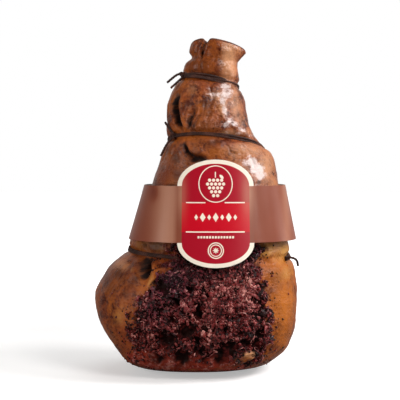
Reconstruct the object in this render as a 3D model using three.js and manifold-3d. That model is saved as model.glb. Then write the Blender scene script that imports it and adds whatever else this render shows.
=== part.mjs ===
// A boneless cured ham in its rind, standing on its broad end: the skin is rolled to a cuff at the top, twine pinches
// it at the neck, the shoulder and the belly, grape marc crusts its front, and a printed card sleeve goes round it.
// Millimetres and degrees. +X is to the ham's right as it is seen from the front, +Y to the back and +Z up.
import * as THREE from "three";
import { mergeVertices } from "three/addons/utils/BufferGeometryUtils.js";
import Module from "manifold-3d";

const wasm = await Module();
wasm.setup();

// How far the ham reaches at each height: to the left and right along X, and to the front and back along Y.
const SECTIONS = [
  { z: 0, left: -45, right: 40, front: -17, back: 30 },
  { z: 3, left: -62, right: 62, front: -34, back: 44 },
  { z: 12, left: -76.5, right: 82.5, front: -66, back: 68 },
  { z: 32, left: -91.5, right: 100, front: -77, back: 80 },
  { z: 58, left: -106.5, right: 107.5, front: -82, back: 86 },
  { z: 80, left: -111, right: 109.5, front: -82, back: 88 },
  { z: 108, left: -97, right: 105.5, front: -77, back: 85 },
  { z: 130, left: -74, right: 99.5, front: -70, back: 80 },
  { z: 165, left: -62.5, right: 92.5, front: -62, back: 74 },
  { z: 202, left: -49, right: 87.5, front: -52, back: 66 },
  { z: 235, left: -34.5, right: 77, front: -42, back: 58 },
  { z: 254, left: -31, right: 58, front: -36, back: 52 },
  { z: 285, left: -32, right: 51.5, front: -31, back: 47 },
  { z: 303, left: -25, right: 46.5, front: -25, back: 41 },
  { z: 318, left: -15.5, right: 43, front: -19, back: 34 },
  { z: 330, left: -10, right: 43, front: -18, back: 34 },
  { z: 336, left: -4.5, right: 47, front: -17, back: 35 },
  { z: 343, left: -7.5, right: 53, front: -17, back: 36 },
  { z: 358, left: -2, right: 44, front: -16, back: 34 },
];
const HEIGHT = 355;
const SQUARENESS = 2.2;

// Each tie is a twine drawn tight at a mean height, tilted so that it is highest at one angle.
const TIES = {
  belly: { height: 126.4, tilt: 4.6, highest: 150, bite: 3, spread: 5, strands: 2 },
  shoulder: { height: 242.5, tilt: 11, highest: 255, bite: 3.5, spread: 5, strands: 2 },
  neck: { height: 309.5, tilt: 6, highest: 215, bite: 2.5, spread: 6.5, strands: 3 },
};
const TWINE_RADIUS = 1.3;
const GAP = 0.7;

// The cuff's rim is highest at one angle, tilts down behind it and is notched where the skin's edges meet. Its top is a
// shallow dish inside the rolled skin.
const RIM = { tilt: 9, highest: 240, wall: 6.5, dish: 8, round: 2.5, notch: 5, notchAt: 244, notchWidth: 7 };

// Gathers fan out from each tie: how many, how deep, and how far they run above or below it.
const GATHERS = { count: 13, depth: 1.5, reach: 17 };

// Folds of the skin, each seen from the front as a line through points [x, z], with its depth and its half width at the
// line's start and end.
const FOLDS = [
  { name: "cuff slit", line: [[10.7, 352], [6, 337], [4, 319]], depth: 6, widths: [3.2, 1.8] },
  { name: "left pocket", line: [[-21, 293], [-22.5, 281], [-19.5, 270.5], [-13, 257]], depth: 9, widths: [4.6, 2.2] },
  { name: "pleat", line: [[-1.5, 280], [-6.5, 268], [-7, 256]], depth: 4.5, widths: [2.2, 3.2] },
  { name: "thin pleat", line: [[5, 275], [-1, 265.5], [-5, 256]], depth: 3, widths: [2.2, 2] },
  { name: "shoulder crack", line: [[-12, 251], [-9.5, 236], [-4, 228], [7, 226]], depth: 6, widths: [2, 4.4] },
  { name: "shoulder dent", line: [[16.5, 245], [22.5, 245]], depth: 2.5, widths: [3, 3] },
  { name: "belly pocket", line: [[-52.5, 121], [-52.5, 110]], depth: 9, widths: [4.6, 4.6] },
  { name: "belly pleat", line: [[-55.5, 144], [-49.5, 131]], depth: 3.5, widths: [2.6, 2.6] },
];

// The marc crust's outline seen from the front, as points [x, z] of a closed curve.
const MARC_OUTLINE = [
  [-18, 143], [-30, 130], [-32, 118], [-41.5, 98], [-52, 89], [-61, 78], [-67, 61], [-67.5, 36], [-48, 18],
  [3, 15], [45, 20], [68, 36], [77, 58], [71, 84], [66, 101], [60, 114], [64, 127], [58, 142], [20, 146],
];
const MARC = { rise: 1.6, lump: 1.3, lumpSize: 9, grains: 100, grainRadius: 3.9, seed: 11 };

// The card sleeve: a die-cut strip lapped at the back, widening downwards, with a rounded label face at the front.
const SLEEVE = {
  low: { z: 142.5, left: -72.5, right: 106, front: -77, back: 84 },
  high: { z: 199.5, left: -56, right: 94.7, front: -60, back: 72 },
  squareness: 2.5,
  card: 0.6,
  lap: 16,
  room: 1.2,
  labelX: 19.4,
  labelHalf: 38.7,
  lobeUp: 27,
  lobeDown: 24.5,
};

const COLUMNS = 60;

// Where the sleeve's inner wall lies at a height: straight lines between its low and high edges.
function sleeveSection(z) {
  const share = (z - SLEEVE.low.z) / (SLEEVE.high.z - SLEEVE.low.z);
  const [left, right, front, back] = ["left", "right", "front", "back"].map(
    (key) => SLEEVE.low[key] + (SLEEVE.high[key] - SLEEVE.low[key]) * share,
  );
  return { x: (left + right) / 2, y: (front + back) / 2, halfX: (right - left) / 2, halfY: (back - front) / 2 };
}

const degrees = THREE.MathUtils.degToRad;
const clamp01 = (t) => THREE.MathUtils.clamp(t, 0, 1);
const bell = (t) => Math.exp(-t * t);

// A curve through a table's values that never overshoots them: a monotone cubic.
function through(table, key, z) {
  const last = table.length - 1;
  if (z <= table[0].z) return table[0][key];
  if (z >= table[last].z) return table[last][key];
  const i = table.findIndex((row, k) => k < last && z < table[k + 1].z);
  const slope = (k) => (table[k + 1][key] - table[k][key]) / (table[k + 1].z - table[k].z);
  const tangent = (k) => {
    if (k === 0) return slope(0);
    if (k === last) return slope(last - 1);
    const before = slope(k - 1);
    const after = slope(k);
    return before * after <= 0 ? 0 : (2 * before * after) / (before + after);
  };
  const h = table[i + 1].z - table[i].z;
  const t = (z - table[i].z) / h;
  const a = table[i][key];
  const b = table[i + 1][key];
  const rise = t * t * (3 - 2 * t);
  return a + (b - a) * rise + h * t * (1 - t) * (tangent(i) * (1 - t) - tangent(i + 1) * t);
}

// The distance from a section's centre to its rim: an ellipse squared off a little.
function rimDistance(angle, halfX, halfY, squareness) {
  const across = Math.abs(Math.cos(angle)) / halfX;
  const along = Math.abs(Math.sin(angle)) / halfY;
  return (across ** squareness + along ** squareness) ** (-1 / squareness);
}

function section(z) {
  const [left, right, front, back] = ["left", "right", "front", "back"].map((key) => through(SECTIONS, key, z));
  return { x: (left + right) / 2, y: (front + back) / 2, halfX: (right - left) / 2, halfY: (back - front) / 2 };
}

// Rows of the ham follow its ties: this is how far a row of a given level is lifted at an angle.
const lean = (angle, highest, tilt) => tilt * Math.cos(angle - degrees(highest));
function lift(angle, level) {
  const fromNotch = Math.atan2(Math.sin(angle - degrees(RIM.notchAt)), Math.cos(angle - degrees(RIM.notchAt)));
  const notch = RIM.notch * bell(fromNotch / degrees(RIM.notchWidth));
  const rim = lean(angle, RIM.highest, RIM.tilt) - RIM.tilt - notch;
  const stops = [
    { z: 0, lift: 0 },
    { z: 60, lift: 0 },
    ...Object.values(TIES).map((tie) => ({ z: tie.height, lift: lean(angle, tie.highest, tie.tilt) })),
    { z: HEIGHT, lift: rim },
  ];
  return through(stops, "lift", level);
}

// Slow unevenness of the flesh, as a sum of waves in space.
const lumps = (p, size) =>
  (Math.sin((p.x + 0.6 * p.z) / size + 1.1) + Math.sin((p.y - 0.5 * p.x) / size + 2.3) +
    Math.sin((p.z + 0.7 * p.y) / size + 0.4)) / 3;

const marcCurve = new THREE.CatmullRomCurve3(MARC_OUTLINE.map(([x, z]) => new THREE.Vector3(x, 0, z)), true);
const marcEdge = marcCurve.getPoints(56);

// How deep a front point lies inside the marc's outline, in millimetres: negative outside it.
function marcDepth(x, z) {
  let inside = false;
  let nearest = Infinity;
  for (let i = 0; i + 1 < marcEdge.length; i++) {
    const a = marcEdge[i];
    const b = marcEdge[i + 1];
    if (a.z > z !== b.z > z && x < a.x + ((b.x - a.x) * (z - a.z)) / (b.z - a.z)) inside = !inside;
    const t = clamp01(((x - a.x) * (b.x - a.x) + (z - a.z) * (b.z - a.z)) / ((b.x - a.x) ** 2 + (b.z - a.z) ** 2));
    nearest = Math.min(nearest, Math.hypot(x - a.x - t * (b.x - a.x), z - a.z - t * (b.z - a.z)));
  }
  return inside ? nearest : -nearest;
}

// The smooth ham without its folds: the point at an angle round it and a level up it.
function smoothPoint(angle, level, out = 0) {
  const z = level + lift(angle, level);
  const s = section(z);
  const r = rimDistance(angle, s.halfX, s.halfY, SQUARENESS) + out;
  return new THREE.Vector3(s.x + r * Math.cos(angle), s.y + r * Math.sin(angle), z);
}

// The angle at which the front of the ham lies at x, on the section at height z.
function frontAngle(x, z) {
  const s = section(z);
  const share = THREE.MathUtils.clamp((x - s.x) / s.halfX, -0.999, 0.999);
  const y = -s.halfY * (1 - Math.abs(share) ** SQUARENESS) ** (1 / SQUARENESS);
  return Math.atan2(y, share * s.halfX);
}

// The level whose lifted row passes through height z at an angle.
function levelAt(angle, z) {
  let level = z;
  for (let i = 0; i < 8; i++) level += z - (level + lift(angle, level));
  return level;
}

const foldPaths = FOLDS.map((fold) => {
  const corners = fold.line.map(([x, z]) => {
    const angle = frontAngle(x, z);
    return smoothPoint(angle, levelAt(angle, z));
  });
  const path = new THREE.CatmullRomCurve3(corners).getPoints(10);
  return { ...fold, path };
});

function foldDepth(point) {
  let depth = 0;
  for (const { path, depth: deepest, widths } of foldPaths) {
    path.forEach((at, i) => {
      const along = i / (path.length - 1);
      const width = widths[0] + (widths[1] - widths[0]) * along;
      const here = deepest * Math.sin(Math.PI * (0.12 + 0.76 * along)) * bell(at.distanceTo(point) / width);
      depth = Math.max(depth, here);
    });
  }
  return depth;
}

// Everything that moves the skin in or out from the smooth ham at a point.
function relief(angle, level) {
  const p = smoothPoint(angle, level);
  const offFloor = clamp01(level / 12);
  let out = 1.8 * lumps(p, 17) * offFloor;
  let nearTie = 0;
  for (const tie of Object.values(TIES)) {
    const away = level - tie.height;
    out -= tie.bite * bell((away / tie.spread) ** 2);
    out += 0.4 * tie.bite * bell((Math.abs(away) - 13) / 8);
    nearTie = Math.max(nearTie, bell(away / (1.4 * tie.spread)));
    const gather = Math.max(0, Math.cos(GATHERS.count * angle + 1.3 * Math.sin(2 * angle) + tie.height)) ** 2;
    const fan = bell((Math.abs(away) - 9) / GATHERS.reach) * (1 - bell(away / 7));
    out -= GATHERS.depth * gather * fan;
  }
  out -= foldDepth(p) * (1 - nearTie);
  if (p.y < 0) {
    const crust = clamp01(marcDepth(p.x, p.z) / 5);
    out += crust * (MARC.rise + MARC.lump * lumps(p, MARC.lumpSize / 3)) * offFloor * (1 - nearTie);
  }
  return out;
}

// The sleeve holds the skin in: a point nearer than its room to the wall is drawn back towards the sleeve's middle.
function heldIn(point) {
  const { low, high, lobeUp, lobeDown, squareness, room } = SLEEVE;
  const { x, y, halfX, halfY } = sleeveSection(point.z);
  const across = Math.abs((point.x - x) / halfX) ** squareness;
  const along = Math.abs((point.y - y) / halfY) ** squareness;
  const reach = (across + along) ** (1 / squareness);
  const besideLabel = (point.x - SLEEVE.labelX) / (SLEEVE.labelHalf + 8);
  const lobe = point.y < 0 ? Math.sqrt(Math.max(0, 1 - besideLabel ** 2)) : 0;
  const bottom = low.z - lobeDown * lobe - 7;
  const top = high.z + lobeUp * lobe + 7;
  const held = clamp01((point.z - bottom) / 7) * clamp01((top - point.z) / 7);
  const excess = Math.max(0, reach - (1 - room / Math.min(halfX, halfY))) * held;
  return new THREE.Vector3(x + (point.x - x) * (1 - excess / reach), y + (point.y - y) * (1 - excess / reach), point.z);
}

// A point of the skin, or a little out from it.
function hamPoint(angle, level, out = 0) {
  const skin = heldIn(smoothPoint(angle, level, relief(angle, level)));
  return skin.add(new THREE.Vector3(out * Math.cos(angle), out * Math.sin(angle), 0));
}

// A closed surface from rows of points, with one point at each end.
function closedRows(rows, firstPole, lastPole) {
  const columns = rows[0].length;
  const points = [firstPole, ...rows.flat(), lastPole];
  const at = (row, column) => 1 + row * columns + (column % columns);
  const faces = [];
  for (let c = 0; c < columns; c++) {
    faces.push(0, at(0, c + 1), at(0, c));
    faces.push(points.length - 1, at(rows.length - 1, c), at(rows.length - 1, c + 1));
    for (let r = 0; r + 1 < rows.length; r++) {
      faces.push(at(r, c), at(r, c + 1), at(r + 1, c + 1), at(r, c), at(r + 1, c + 1), at(r + 1, c));
    }
  }
  const geometry = new THREE.BufferGeometry().setFromPoints(points);
  geometry.setIndex(faces);
  return geometry;
}

// Solids for joining and cutting, and back again.
function solidFrom(geometry) {
  const bare = new THREE.BufferGeometry();
  bare.setAttribute("position", geometry.getAttribute("position"));
  bare.setIndex(geometry.index);
  const merged = mergeVertices(bare, 1e-3);
  return new wasm.Manifold(
    new wasm.Mesh({
      numProp: 3,
      vertProperties: new Float32Array(merged.attributes.position.array),
      triVerts: new Uint32Array(merged.index.array),
    }),
  );
}

function geometryFrom(solid) {
  const mesh = solid.getMesh();
  const geometry = new THREE.BufferGeometry();
  geometry.setAttribute("position", new THREE.BufferAttribute(mesh.vertProperties, 3));
  geometry.setIndex(new THREE.BufferAttribute(mesh.triVerts, 1));
  geometry.computeVertexNormals();
  return geometry;
}

// Angles round the ham, closer together at the front where the folds and the crust are.
const hamAngles = Array.from({ length: COLUMNS }, (_, i) => {
  const turn = (2 * Math.PI * i) / COLUMNS;
  return turn - Math.PI / 2 - 0.3 * Math.sin(turn);
});

// Levels up the ham: each tie has rows at its middle and at its groove's edges, and the rows between are spread evenly.
function hamLevels() {
  const ties = Object.values(TIES).flatMap(({ height, strands }) => {
    const half = strands * TWINE_RADIUS + 1.2;
    return [height - half - 4, height - half, height, height + half, height + half + 4];
  });
  const stops = [0, ...ties, HEIGHT - RIM.round];
  const counts = [11, 1, 1, 1, 1, 9, 1, 1, 1, 1, 6, 1, 1, 1, 1, 4];
  const levels = counts.flatMap((count, i) => {
    const even = (k) => stops[i] + ((stops[i + 1] - stops[i]) * k) / count;
    return Array.from({ length: count }, (_, k) => (i === 0 ? even(k) * (0.35 + (0.65 * k) / count) : even(k)));
  });
  return [...levels, HEIGHT - RIM.round];
}

function hamBody() {
  const floorRing = (share) =>
    hamAngles.map((angle) => {
      const edge = hamPoint(angle, 0);
      return new THREE.Vector3(edge.x * share, edge.y * share, 0);
    });
  const rimRing = (inward, drop, closing = 1) =>
    hamAngles.map((angle) => {
      const edge = hamPoint(angle, HEIGHT - RIM.round, -inward);
      const centre = section(edge.z);
      return new THREE.Vector3(
        centre.x + (edge.x - centre.x) * closing,
        centre.y + (edge.y - centre.y) * closing,
        edge.z + RIM.round - drop,
      );
    });
  const rows = [
    floorRing(0.6),
    ...hamLevels().map((level) => hamAngles.map((angle) => hamPoint(angle, level))),
    rimRing(1, 0.7),
    rimRing(RIM.round, 0),
    rimRing(RIM.wall - 1.5, 0.8),
    rimRing(RIM.wall, RIM.dish * 0.6),
    rimRing(RIM.wall, RIM.dish, 0.75),
  ];
  const top = section(HEIGHT);
  const dishZ = HEIGHT - RIM.tilt - RIM.dish;
  return closedRows(rows, new THREE.Vector3(0, 0, 0), new THREE.Vector3(top.x, top.y, dishZ));
}

// Repeatable random draws from 0 to 1.
function seeded(seed) {
  let state = seed;
  return () => {
    state = (state + 0x6d2b79f5) | 0;
    let t = Math.imul(state ^ (state >>> 15), 1 | state);
    t = (t + Math.imul(t ^ (t >>> 7), 61 | t)) ^ t;
    return ((t ^ (t >>> 14)) >>> 0) / 4294967296;
  };
}

// Clumps of grape skin and pips, half sunk in the crust and evenly spread over it.
function marcGrains() {
  const draw = seeded(MARC.seed);
  const placed = [];
  const spacing = 2.35 * MARC.grainRadius;
  for (let tries = 0; placed.length < MARC.grains && tries < 6000; tries++) {
    const x = -75 + 160 * draw();
    const z = 14 + 124 * draw();
    const underSleeve = z > SLEEVE.low.z - SLEEVE.lobeDown - 6 && Math.abs(x - SLEEVE.labelX) < SLEEVE.labelHalf + 5;
    const atTwine = Math.abs(z - TIES.belly.height) < 11 && x < 0;
    if (marcDepth(x, z) < MARC.grainRadius * 0.5 || underSleeve || z > 124 || atTwine) continue;
    if (placed.some((p) => Math.hypot(p.x - x, p.z - z) < spacing)) continue;
    placed.push({ x, z });
  }
  return placed.map(({ x, z }) => {
    const angle = frontAngle(x, z);
    const radius = MARC.grainRadius * (0.7 + 0.5 * draw());
    const at = hamPoint(angle, levelAt(angle, z), 0.1 * radius);
    const grain = new THREE.IcosahedronGeometry(radius, 0);
    grain.scale(1, 0.75, 0.6 + 0.4 * draw());
    grain.rotateX(6 * draw());
    grain.rotateZ(6 * draw());
    grain.translate(at.x, at.y, at.z);
    return solidFrom(grain);
  });
}

// The outline of strands lying one above another, as [outwards, upwards] points going round.
function strandSection(strands, radius, packing) {
  const step = 1.8 * radius * packing;
  const top = ((strands - 1) / 2) * step;
  const outer = Array.from({ length: strands }, (_, i) => top - i * step).flatMap((up) => [
    [0.9 * radius, up + 0.5 * radius * packing],
    [0.9 * radius, up - 0.5 * radius * packing],
  ]);
  return [[-0.1 * radius, top + radius], ...outer, [-0.1 * radius, -top - radius], [-0.95 * radius, 0]];
}

// Where a tie's twine lies on the skin at an angle: its centre, the way out from the skin and the way up along it.
function tiePlace(tie, angle) {
  const up = hamPoint(angle, tie.height + 3).sub(hamPoint(angle, tie.height - 3)).normalize();
  const radial = new THREE.Vector3(Math.cos(angle), Math.sin(angle), 0);
  const out = radial.addScaledVector(up, -radial.dot(up)).normalize();
  return { at: hamPoint(angle, tie.height).addScaledVector(out, TWINE_RADIUS + GAP), out, up };
}

// Strands laid along the skin, which slopes across a tie.
function sweptRows(tie, angles, packing) {
  return angles.map((angle) => {
    const { at, out, up } = tiePlace(tie, angle);
    return strandSection(tie.strands, TWINE_RADIUS, packing(angle)).map(([outwards, upwards]) =>
      at.clone().addScaledVector(out, outwards).addScaledVector(up, upwards),
    );
  });
}

// A loop all the way round, closed on itself.
function closedLoop(rows) {
  const count = rows.length;
  const around = rows[0].length;
  const at = (row, k) => (row % count) * around + (k % around);
  const faces = [];
  for (let r = 0; r < count; r++) {
    for (let k = 0; k < around; k++) {
      faces.push(at(r, k), at(r, k + 1), at(r + 1, k + 1), at(r, k), at(r + 1, k + 1), at(r + 1, k));
    }
  }
  const geometry = new THREE.BufferGeometry().setFromPoints(rows.flat());
  geometry.setIndex(faces);
  return geometry;
}

function middleOf(points) {
  return points.reduce((sum, p) => sum.add(p), new THREE.Vector3()).divideScalar(points.length);
}

const turnSteps = (steps, from = 0, sweep = 360) =>
  Array.from({ length: steps }, (_, i) => degrees(from + (sweep * i) / (sweep === 360 ? steps : steps - 1)));

// A short free end of twine through a few points.
function freeEnd(points) {
  const path = new THREE.CatmullRomCurve3(points.map(([x, y, z]) => new THREE.Vector3(x, y, z)));
  const outline = new THREE.Shape(
    turnSteps(6).map((a) => new THREE.Vector2(TWINE_RADIUS * Math.cos(a), TWINE_RADIUS * Math.sin(a))),
  );
  return solidFrom(new THREE.ExtrudeGeometry(outline, { steps: 5, bevelEnabled: false, extrudePath: path }));
}

function knot(tie, angle, radius) {
  const { at, out } = tiePlace(tie, angle);
  const centre = at.addScaledVector(out, radius - 1);
  const lump = new THREE.IcosahedronGeometry(radius, 1);
  lump.scale(0.85, 1, 1.15);
  lump.translate(centre.x, centre.y, centre.z);
  return solidFrom(lump);
}

const joined = (solids) => geometryFrom(wasm.Manifold.union(solids));

function neckTwine() {
  const tie = TIES.neck;
  const packing = (angle) => 0.72 + 0.28 * Math.cos(angle - degrees(225));
  const { at } = tiePlace(tie, degrees(203));
  return joined([
    solidFrom(closedLoop(sweptRows(tie, hamAngles, packing))),
    knot(tie, degrees(203), 3),
    freeEnd([[at.x - 1, at.y - 1, at.z + 2.5], [at.x - 8, at.y - 2, at.z], [-31.5, at.y - 2, 308.5]]),
    freeEnd([[at.x - 1, at.y - 2, at.z - 2], [at.x - 6, at.y - 6.5, at.z - 7], [-27.5, at.y - 7.5, 302.5]]),
  ]);
}

function shoulderTwine() {
  const tie = TIES.shoulder;
  const { at } = tiePlace(tie, degrees(217));
  return joined([
    solidFrom(closedLoop(sweptRows(tie, hamAngles, () => 1))),
    knot(tie, degrees(217), 3.2),
    freeEnd([[at.x - 1, at.y, at.z + 1], [at.x - 4.5, at.y + 1, at.z + 6], [-33.5, -16, 266]]),
    freeEnd([[at.x - 1, at.y, at.z - 1], [at.x - 8, at.y + 1, at.z - 8], [-38, -17, 230.5]]),
  ]);
}

// The belly twine shows from the crust's left edge round the back to a free end at the right.
function bellyTwine() {
  const tie = TIES.belly;
  const rows = sweptRows(tie, hamAngles.filter((angle) => angle > degrees(-20) && angle < degrees(246)), () => 1);
  const start = rows[0];
  const end = rows[rows.length - 1];
  const at = middleOf(start);
  return joined([
    solidFrom(closedRows(rows, middleOf(start), middleOf(end))),
    freeEnd([
      [at.x + 0.5, at.y + 0.5, at.z],
      [at.x + 6, at.y - 2, at.z + 1],
      [at.x + 11, at.y - 4, at.z - 1.5],
      [at.x + 12.5, at.y - 5, at.z - 7.5],
    ]),
  ]);
}

// The sleeve's wall at an angle and height, moved outwards by a distance.
function sleevePoint(angle, z, out) {
  const s = sleeveSection(z);
  const r = rimDistance(angle, s.halfX, s.halfY, SLEEVE.squareness) + out;
  return new THREE.Vector3(s.x + r * Math.cos(angle), s.y + r * Math.sin(angle), z);
}

// The angle at which the sleeve's front lies at x, at height z.
function sleeveAngle(x, z) {
  const s = sleeveSection(z);
  const share = Math.abs((x - s.x) / s.halfX);
  return Math.atan2(-s.halfY * (1 - share ** SLEEVE.squareness) ** (1 / SLEEVE.squareness), x - s.x);
}

// A closed sheet between two walls of points in columns: both walls are split along the same diagonals.
function sheetBetween(inner, outer) {
  const columns = inner.length;
  const rows = inner[0].length;
  const at = (wall, [column, row]) => (wall * columns + column) * rows + row;
  const faces = [];
  for (let c = 0; c + 1 < columns; c++) {
    for (let r = 0; r + 1 < rows; r++) {
      const [low, next, far, up] = [[c, r], [c + 1, r], [c + 1, r + 1], [c, r + 1]];
      faces.push(at(1, low), at(1, next), at(1, far), at(1, low), at(1, far), at(1, up));
      faces.push(at(0, low), at(0, far), at(0, next), at(0, low), at(0, up), at(0, far));
    }
  }
  const across = Array.from({ length: columns - 1 }, (_, c) => c);
  const upwards = Array.from({ length: rows - 1 }, (_, r) => r);
  const border = [
    ...across.map((c) => [c, 0]),
    ...upwards.map((r) => [columns - 1, r]),
    ...across.map((c) => [columns - 1 - c, rows - 1]),
    ...upwards.map((r) => [0, rows - 1 - r]),
  ];
  border.forEach((here, i) => {
    const next = border[(i + 1) % border.length];
    faces.push(at(0, here), at(0, next), at(1, next), at(0, here), at(1, next), at(1, here));
  });
  const geometry = new THREE.BufferGeometry().setFromPoints([...inner.flat(), ...outer.flat()]);
  geometry.setIndex(faces);
  geometry.computeVertexNormals();
  return geometry;
}

function cardSleeve() {
  const { low, high, card, labelX, labelHalf, lobeUp, lobeDown } = SLEEVE;
  const labelSteps = 24;
  const wingSteps = 15;
  const heights = 3;
  const seam = Math.PI / 2;
  const lapAngle = SLEEVE.lap / (low.back - low.front);
  const label = Array.from({ length: labelSteps + 1 }, (_, i) => {
    const swing = -Math.PI / 2 + (Math.PI * i) / labelSteps;
    const x = labelX + labelHalf * Math.sin(swing);
    const lobe = Math.max(0, Math.cos(swing));
    return { bottom: low.z - lobeDown * lobe, top: high.z + lobeUp * lobe, angleAt: (z) => sleeveAngle(x, z) };
  });
  const wing = (from, edge) =>
    Array.from({ length: wingSteps }, (_, i) => ({
      bottom: low.z,
      top: high.z,
      angleAt: (z) => from + (edge.angleAt(z) - from) * (i / wingSteps),
    }));
  const leftWing = wing(seam - 2 * Math.PI - lapAngle, label[0]);
  const rightWing = wing(seam + lapAngle, label[labelSteps]).reverse();
  const wall = (out) =>
    [...leftWing, ...label, ...rightWing].map(({ bottom, top, angleAt }) =>
      Array.from({ length: heights + 1 }, (_, k) => {
        const z = bottom + ((top - bottom) * k) / heights;
        const lapped = clamp01((angleAt(z) - (seam - 3 * lapAngle)) / (2 * lapAngle)) * (card + GAP);
        return sleevePoint(angleAt(z), z, out + lapped);
      }),
    );
  return sheetBetween(wall(0), wall(card));
}

const finish = (color, roughness) => new THREE.MeshStandardMaterial({ color, roughness, metalness: 0 });
const MATERIALS = {
  rind: finish(0x8a4f2c, 0.35),
  twine: finish(0x2e1a15, 0.8),
  card: finish(0x8f5a4a, 0.5),
};

const part = new THREE.Group();
function add(name, geometry, material) {
  const mesh = new THREE.Mesh(geometry, material);
  mesh.name = name;
  part.add(mesh);
}
add("ham", joined([solidFrom(hamBody()), ...marcGrains()]), MATERIALS.rind);
add("neck_twine", neckTwine(), MATERIALS.twine);
add("shoulder_twine", shoulderTwine(), MATERIALS.twine);
add("belly_twine", bellyTwine(), MATERIALS.twine);
add("card_sleeve", cardSleeve(), MATERIALS.card);

export default part;
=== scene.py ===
"""A boneless cured ham in its glossy rind, tied with twine, crusted with grape marc, in a printed card sleeve.

It is built around the packed model, in metres: +X to the right as the label is read, +Y to the back and +Z up. The
shape functions work in millimetres, as the part's source does, with angles in radians and tables in degrees.
"""

import math

import bpy
import numpy as np
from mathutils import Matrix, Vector, noise


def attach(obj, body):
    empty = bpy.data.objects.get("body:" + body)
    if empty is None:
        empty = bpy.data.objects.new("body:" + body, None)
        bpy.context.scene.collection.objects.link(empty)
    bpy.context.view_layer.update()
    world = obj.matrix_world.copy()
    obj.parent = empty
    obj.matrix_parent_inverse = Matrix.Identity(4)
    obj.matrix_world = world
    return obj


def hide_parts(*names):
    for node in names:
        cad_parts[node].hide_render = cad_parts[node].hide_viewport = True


bl_info = {
    "name": "Cured Ham",
    "version": (1, 0, 0),
    "blender": (4, 5, 0),
    "location": "3D View > Sidebar > Ham",
    "description": "Builds a tied cured ham with a marc crust and a card sleeve around its packed model",
    "category": "Object",
}

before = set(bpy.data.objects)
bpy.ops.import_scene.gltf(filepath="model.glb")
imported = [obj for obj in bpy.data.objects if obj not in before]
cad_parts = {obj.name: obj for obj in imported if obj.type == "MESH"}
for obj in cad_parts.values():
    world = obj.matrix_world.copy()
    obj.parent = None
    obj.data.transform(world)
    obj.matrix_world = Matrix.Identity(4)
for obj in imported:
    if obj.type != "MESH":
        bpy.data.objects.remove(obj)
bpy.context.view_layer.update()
MM = 0.001

# How far the ham reaches at each height: height, left, right, front, back.
SECTIONS = np.array([
    (0, -45, 40, -17, 30), (3, -62, 62, -34, 44), (12, -76.5, 82.5, -66, 68), (32, -91.5, 100, -77, 80),
    (58, -106.5, 107.5, -82, 86), (80, -111, 109.5, -82, 88), (108, -97, 105.5, -77, 85), (130, -74, 99.5, -70, 80),
    (165, -62.5, 92.5, -62, 74), (202, -49, 87.5, -52, 66), (235, -34.5, 77, -42, 58), (254, -31, 58, -36, 52),
    (285, -32, 51.5, -31, 47), (303, -25, 46.5, -25, 41), (318, -15.5, 43, -19, 34), (330, -10, 43, -18, 34),
    (336, -4.5, 47, -17, 35), (343, -7.5, 53, -17, 36), (358, -2, 44, -16, 34),
])
HEIGHT = 355.0
SQUARENESS = 2.2

# Each tie: mean height, tilt, the angle where it is highest, how deep it bites and how far, and its strands.
TIES = {
    "belly": dict(height=126.4, tilt=4.6, highest=150, bite=3.0, spread=5.0, strands=2, buried=0, buried_at=0),
    "shoulder": dict(height=242.5, tilt=11, highest=255, bite=3.5, spread=5.0, strands=2, buried=1.7, buried_at=346),
    "neck": dict(height=309.5, tilt=6, highest=215, bite=2.5, spread=6.5, strands=3, buried=2.3, buried_at=348),
}
RIM = dict(tilt=9, highest=240, wall=6.5, dish=8.0, round=2.5, notch=5.0, notch_at=244, notch_width=7.0)
GATHERS = dict(count=13, depth=0.35, reach=17.0)

# Folds of the skin seen from the front: their line as points (x, z), depth, and half width at the start and the end.
FOLDS = [
    ([(10.7, 352), (6, 337), (4, 319)], 3, (2.0, 1.3)),
    ([(-21, 293), (-22.5, 281), (-19.5, 270.5), (-13, 257)], 9, (4.6, 2.2)),
    ([(-1.5, 280), (-6.5, 268), (-7, 256)], 4.5, (2.2, 3.2)),
    ([(5, 275), (-1, 265.5), (-5, 256)], 3, (2.2, 2)),
    ([(-12, 251), (-9.5, 236), (-4, 228), (7, 226)], 4, (1.0, 3.6)),
    ([(16.5, 245), (22.5, 245)], 2.5, (3, 3)),
    ([(-52.5, 121), (-52.5, 110)], 9, (4.6, 4.6)),
    ([(-55.5, 144), (-49.5, 131)], 3.5, (2.6, 2.6)),
]
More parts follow.
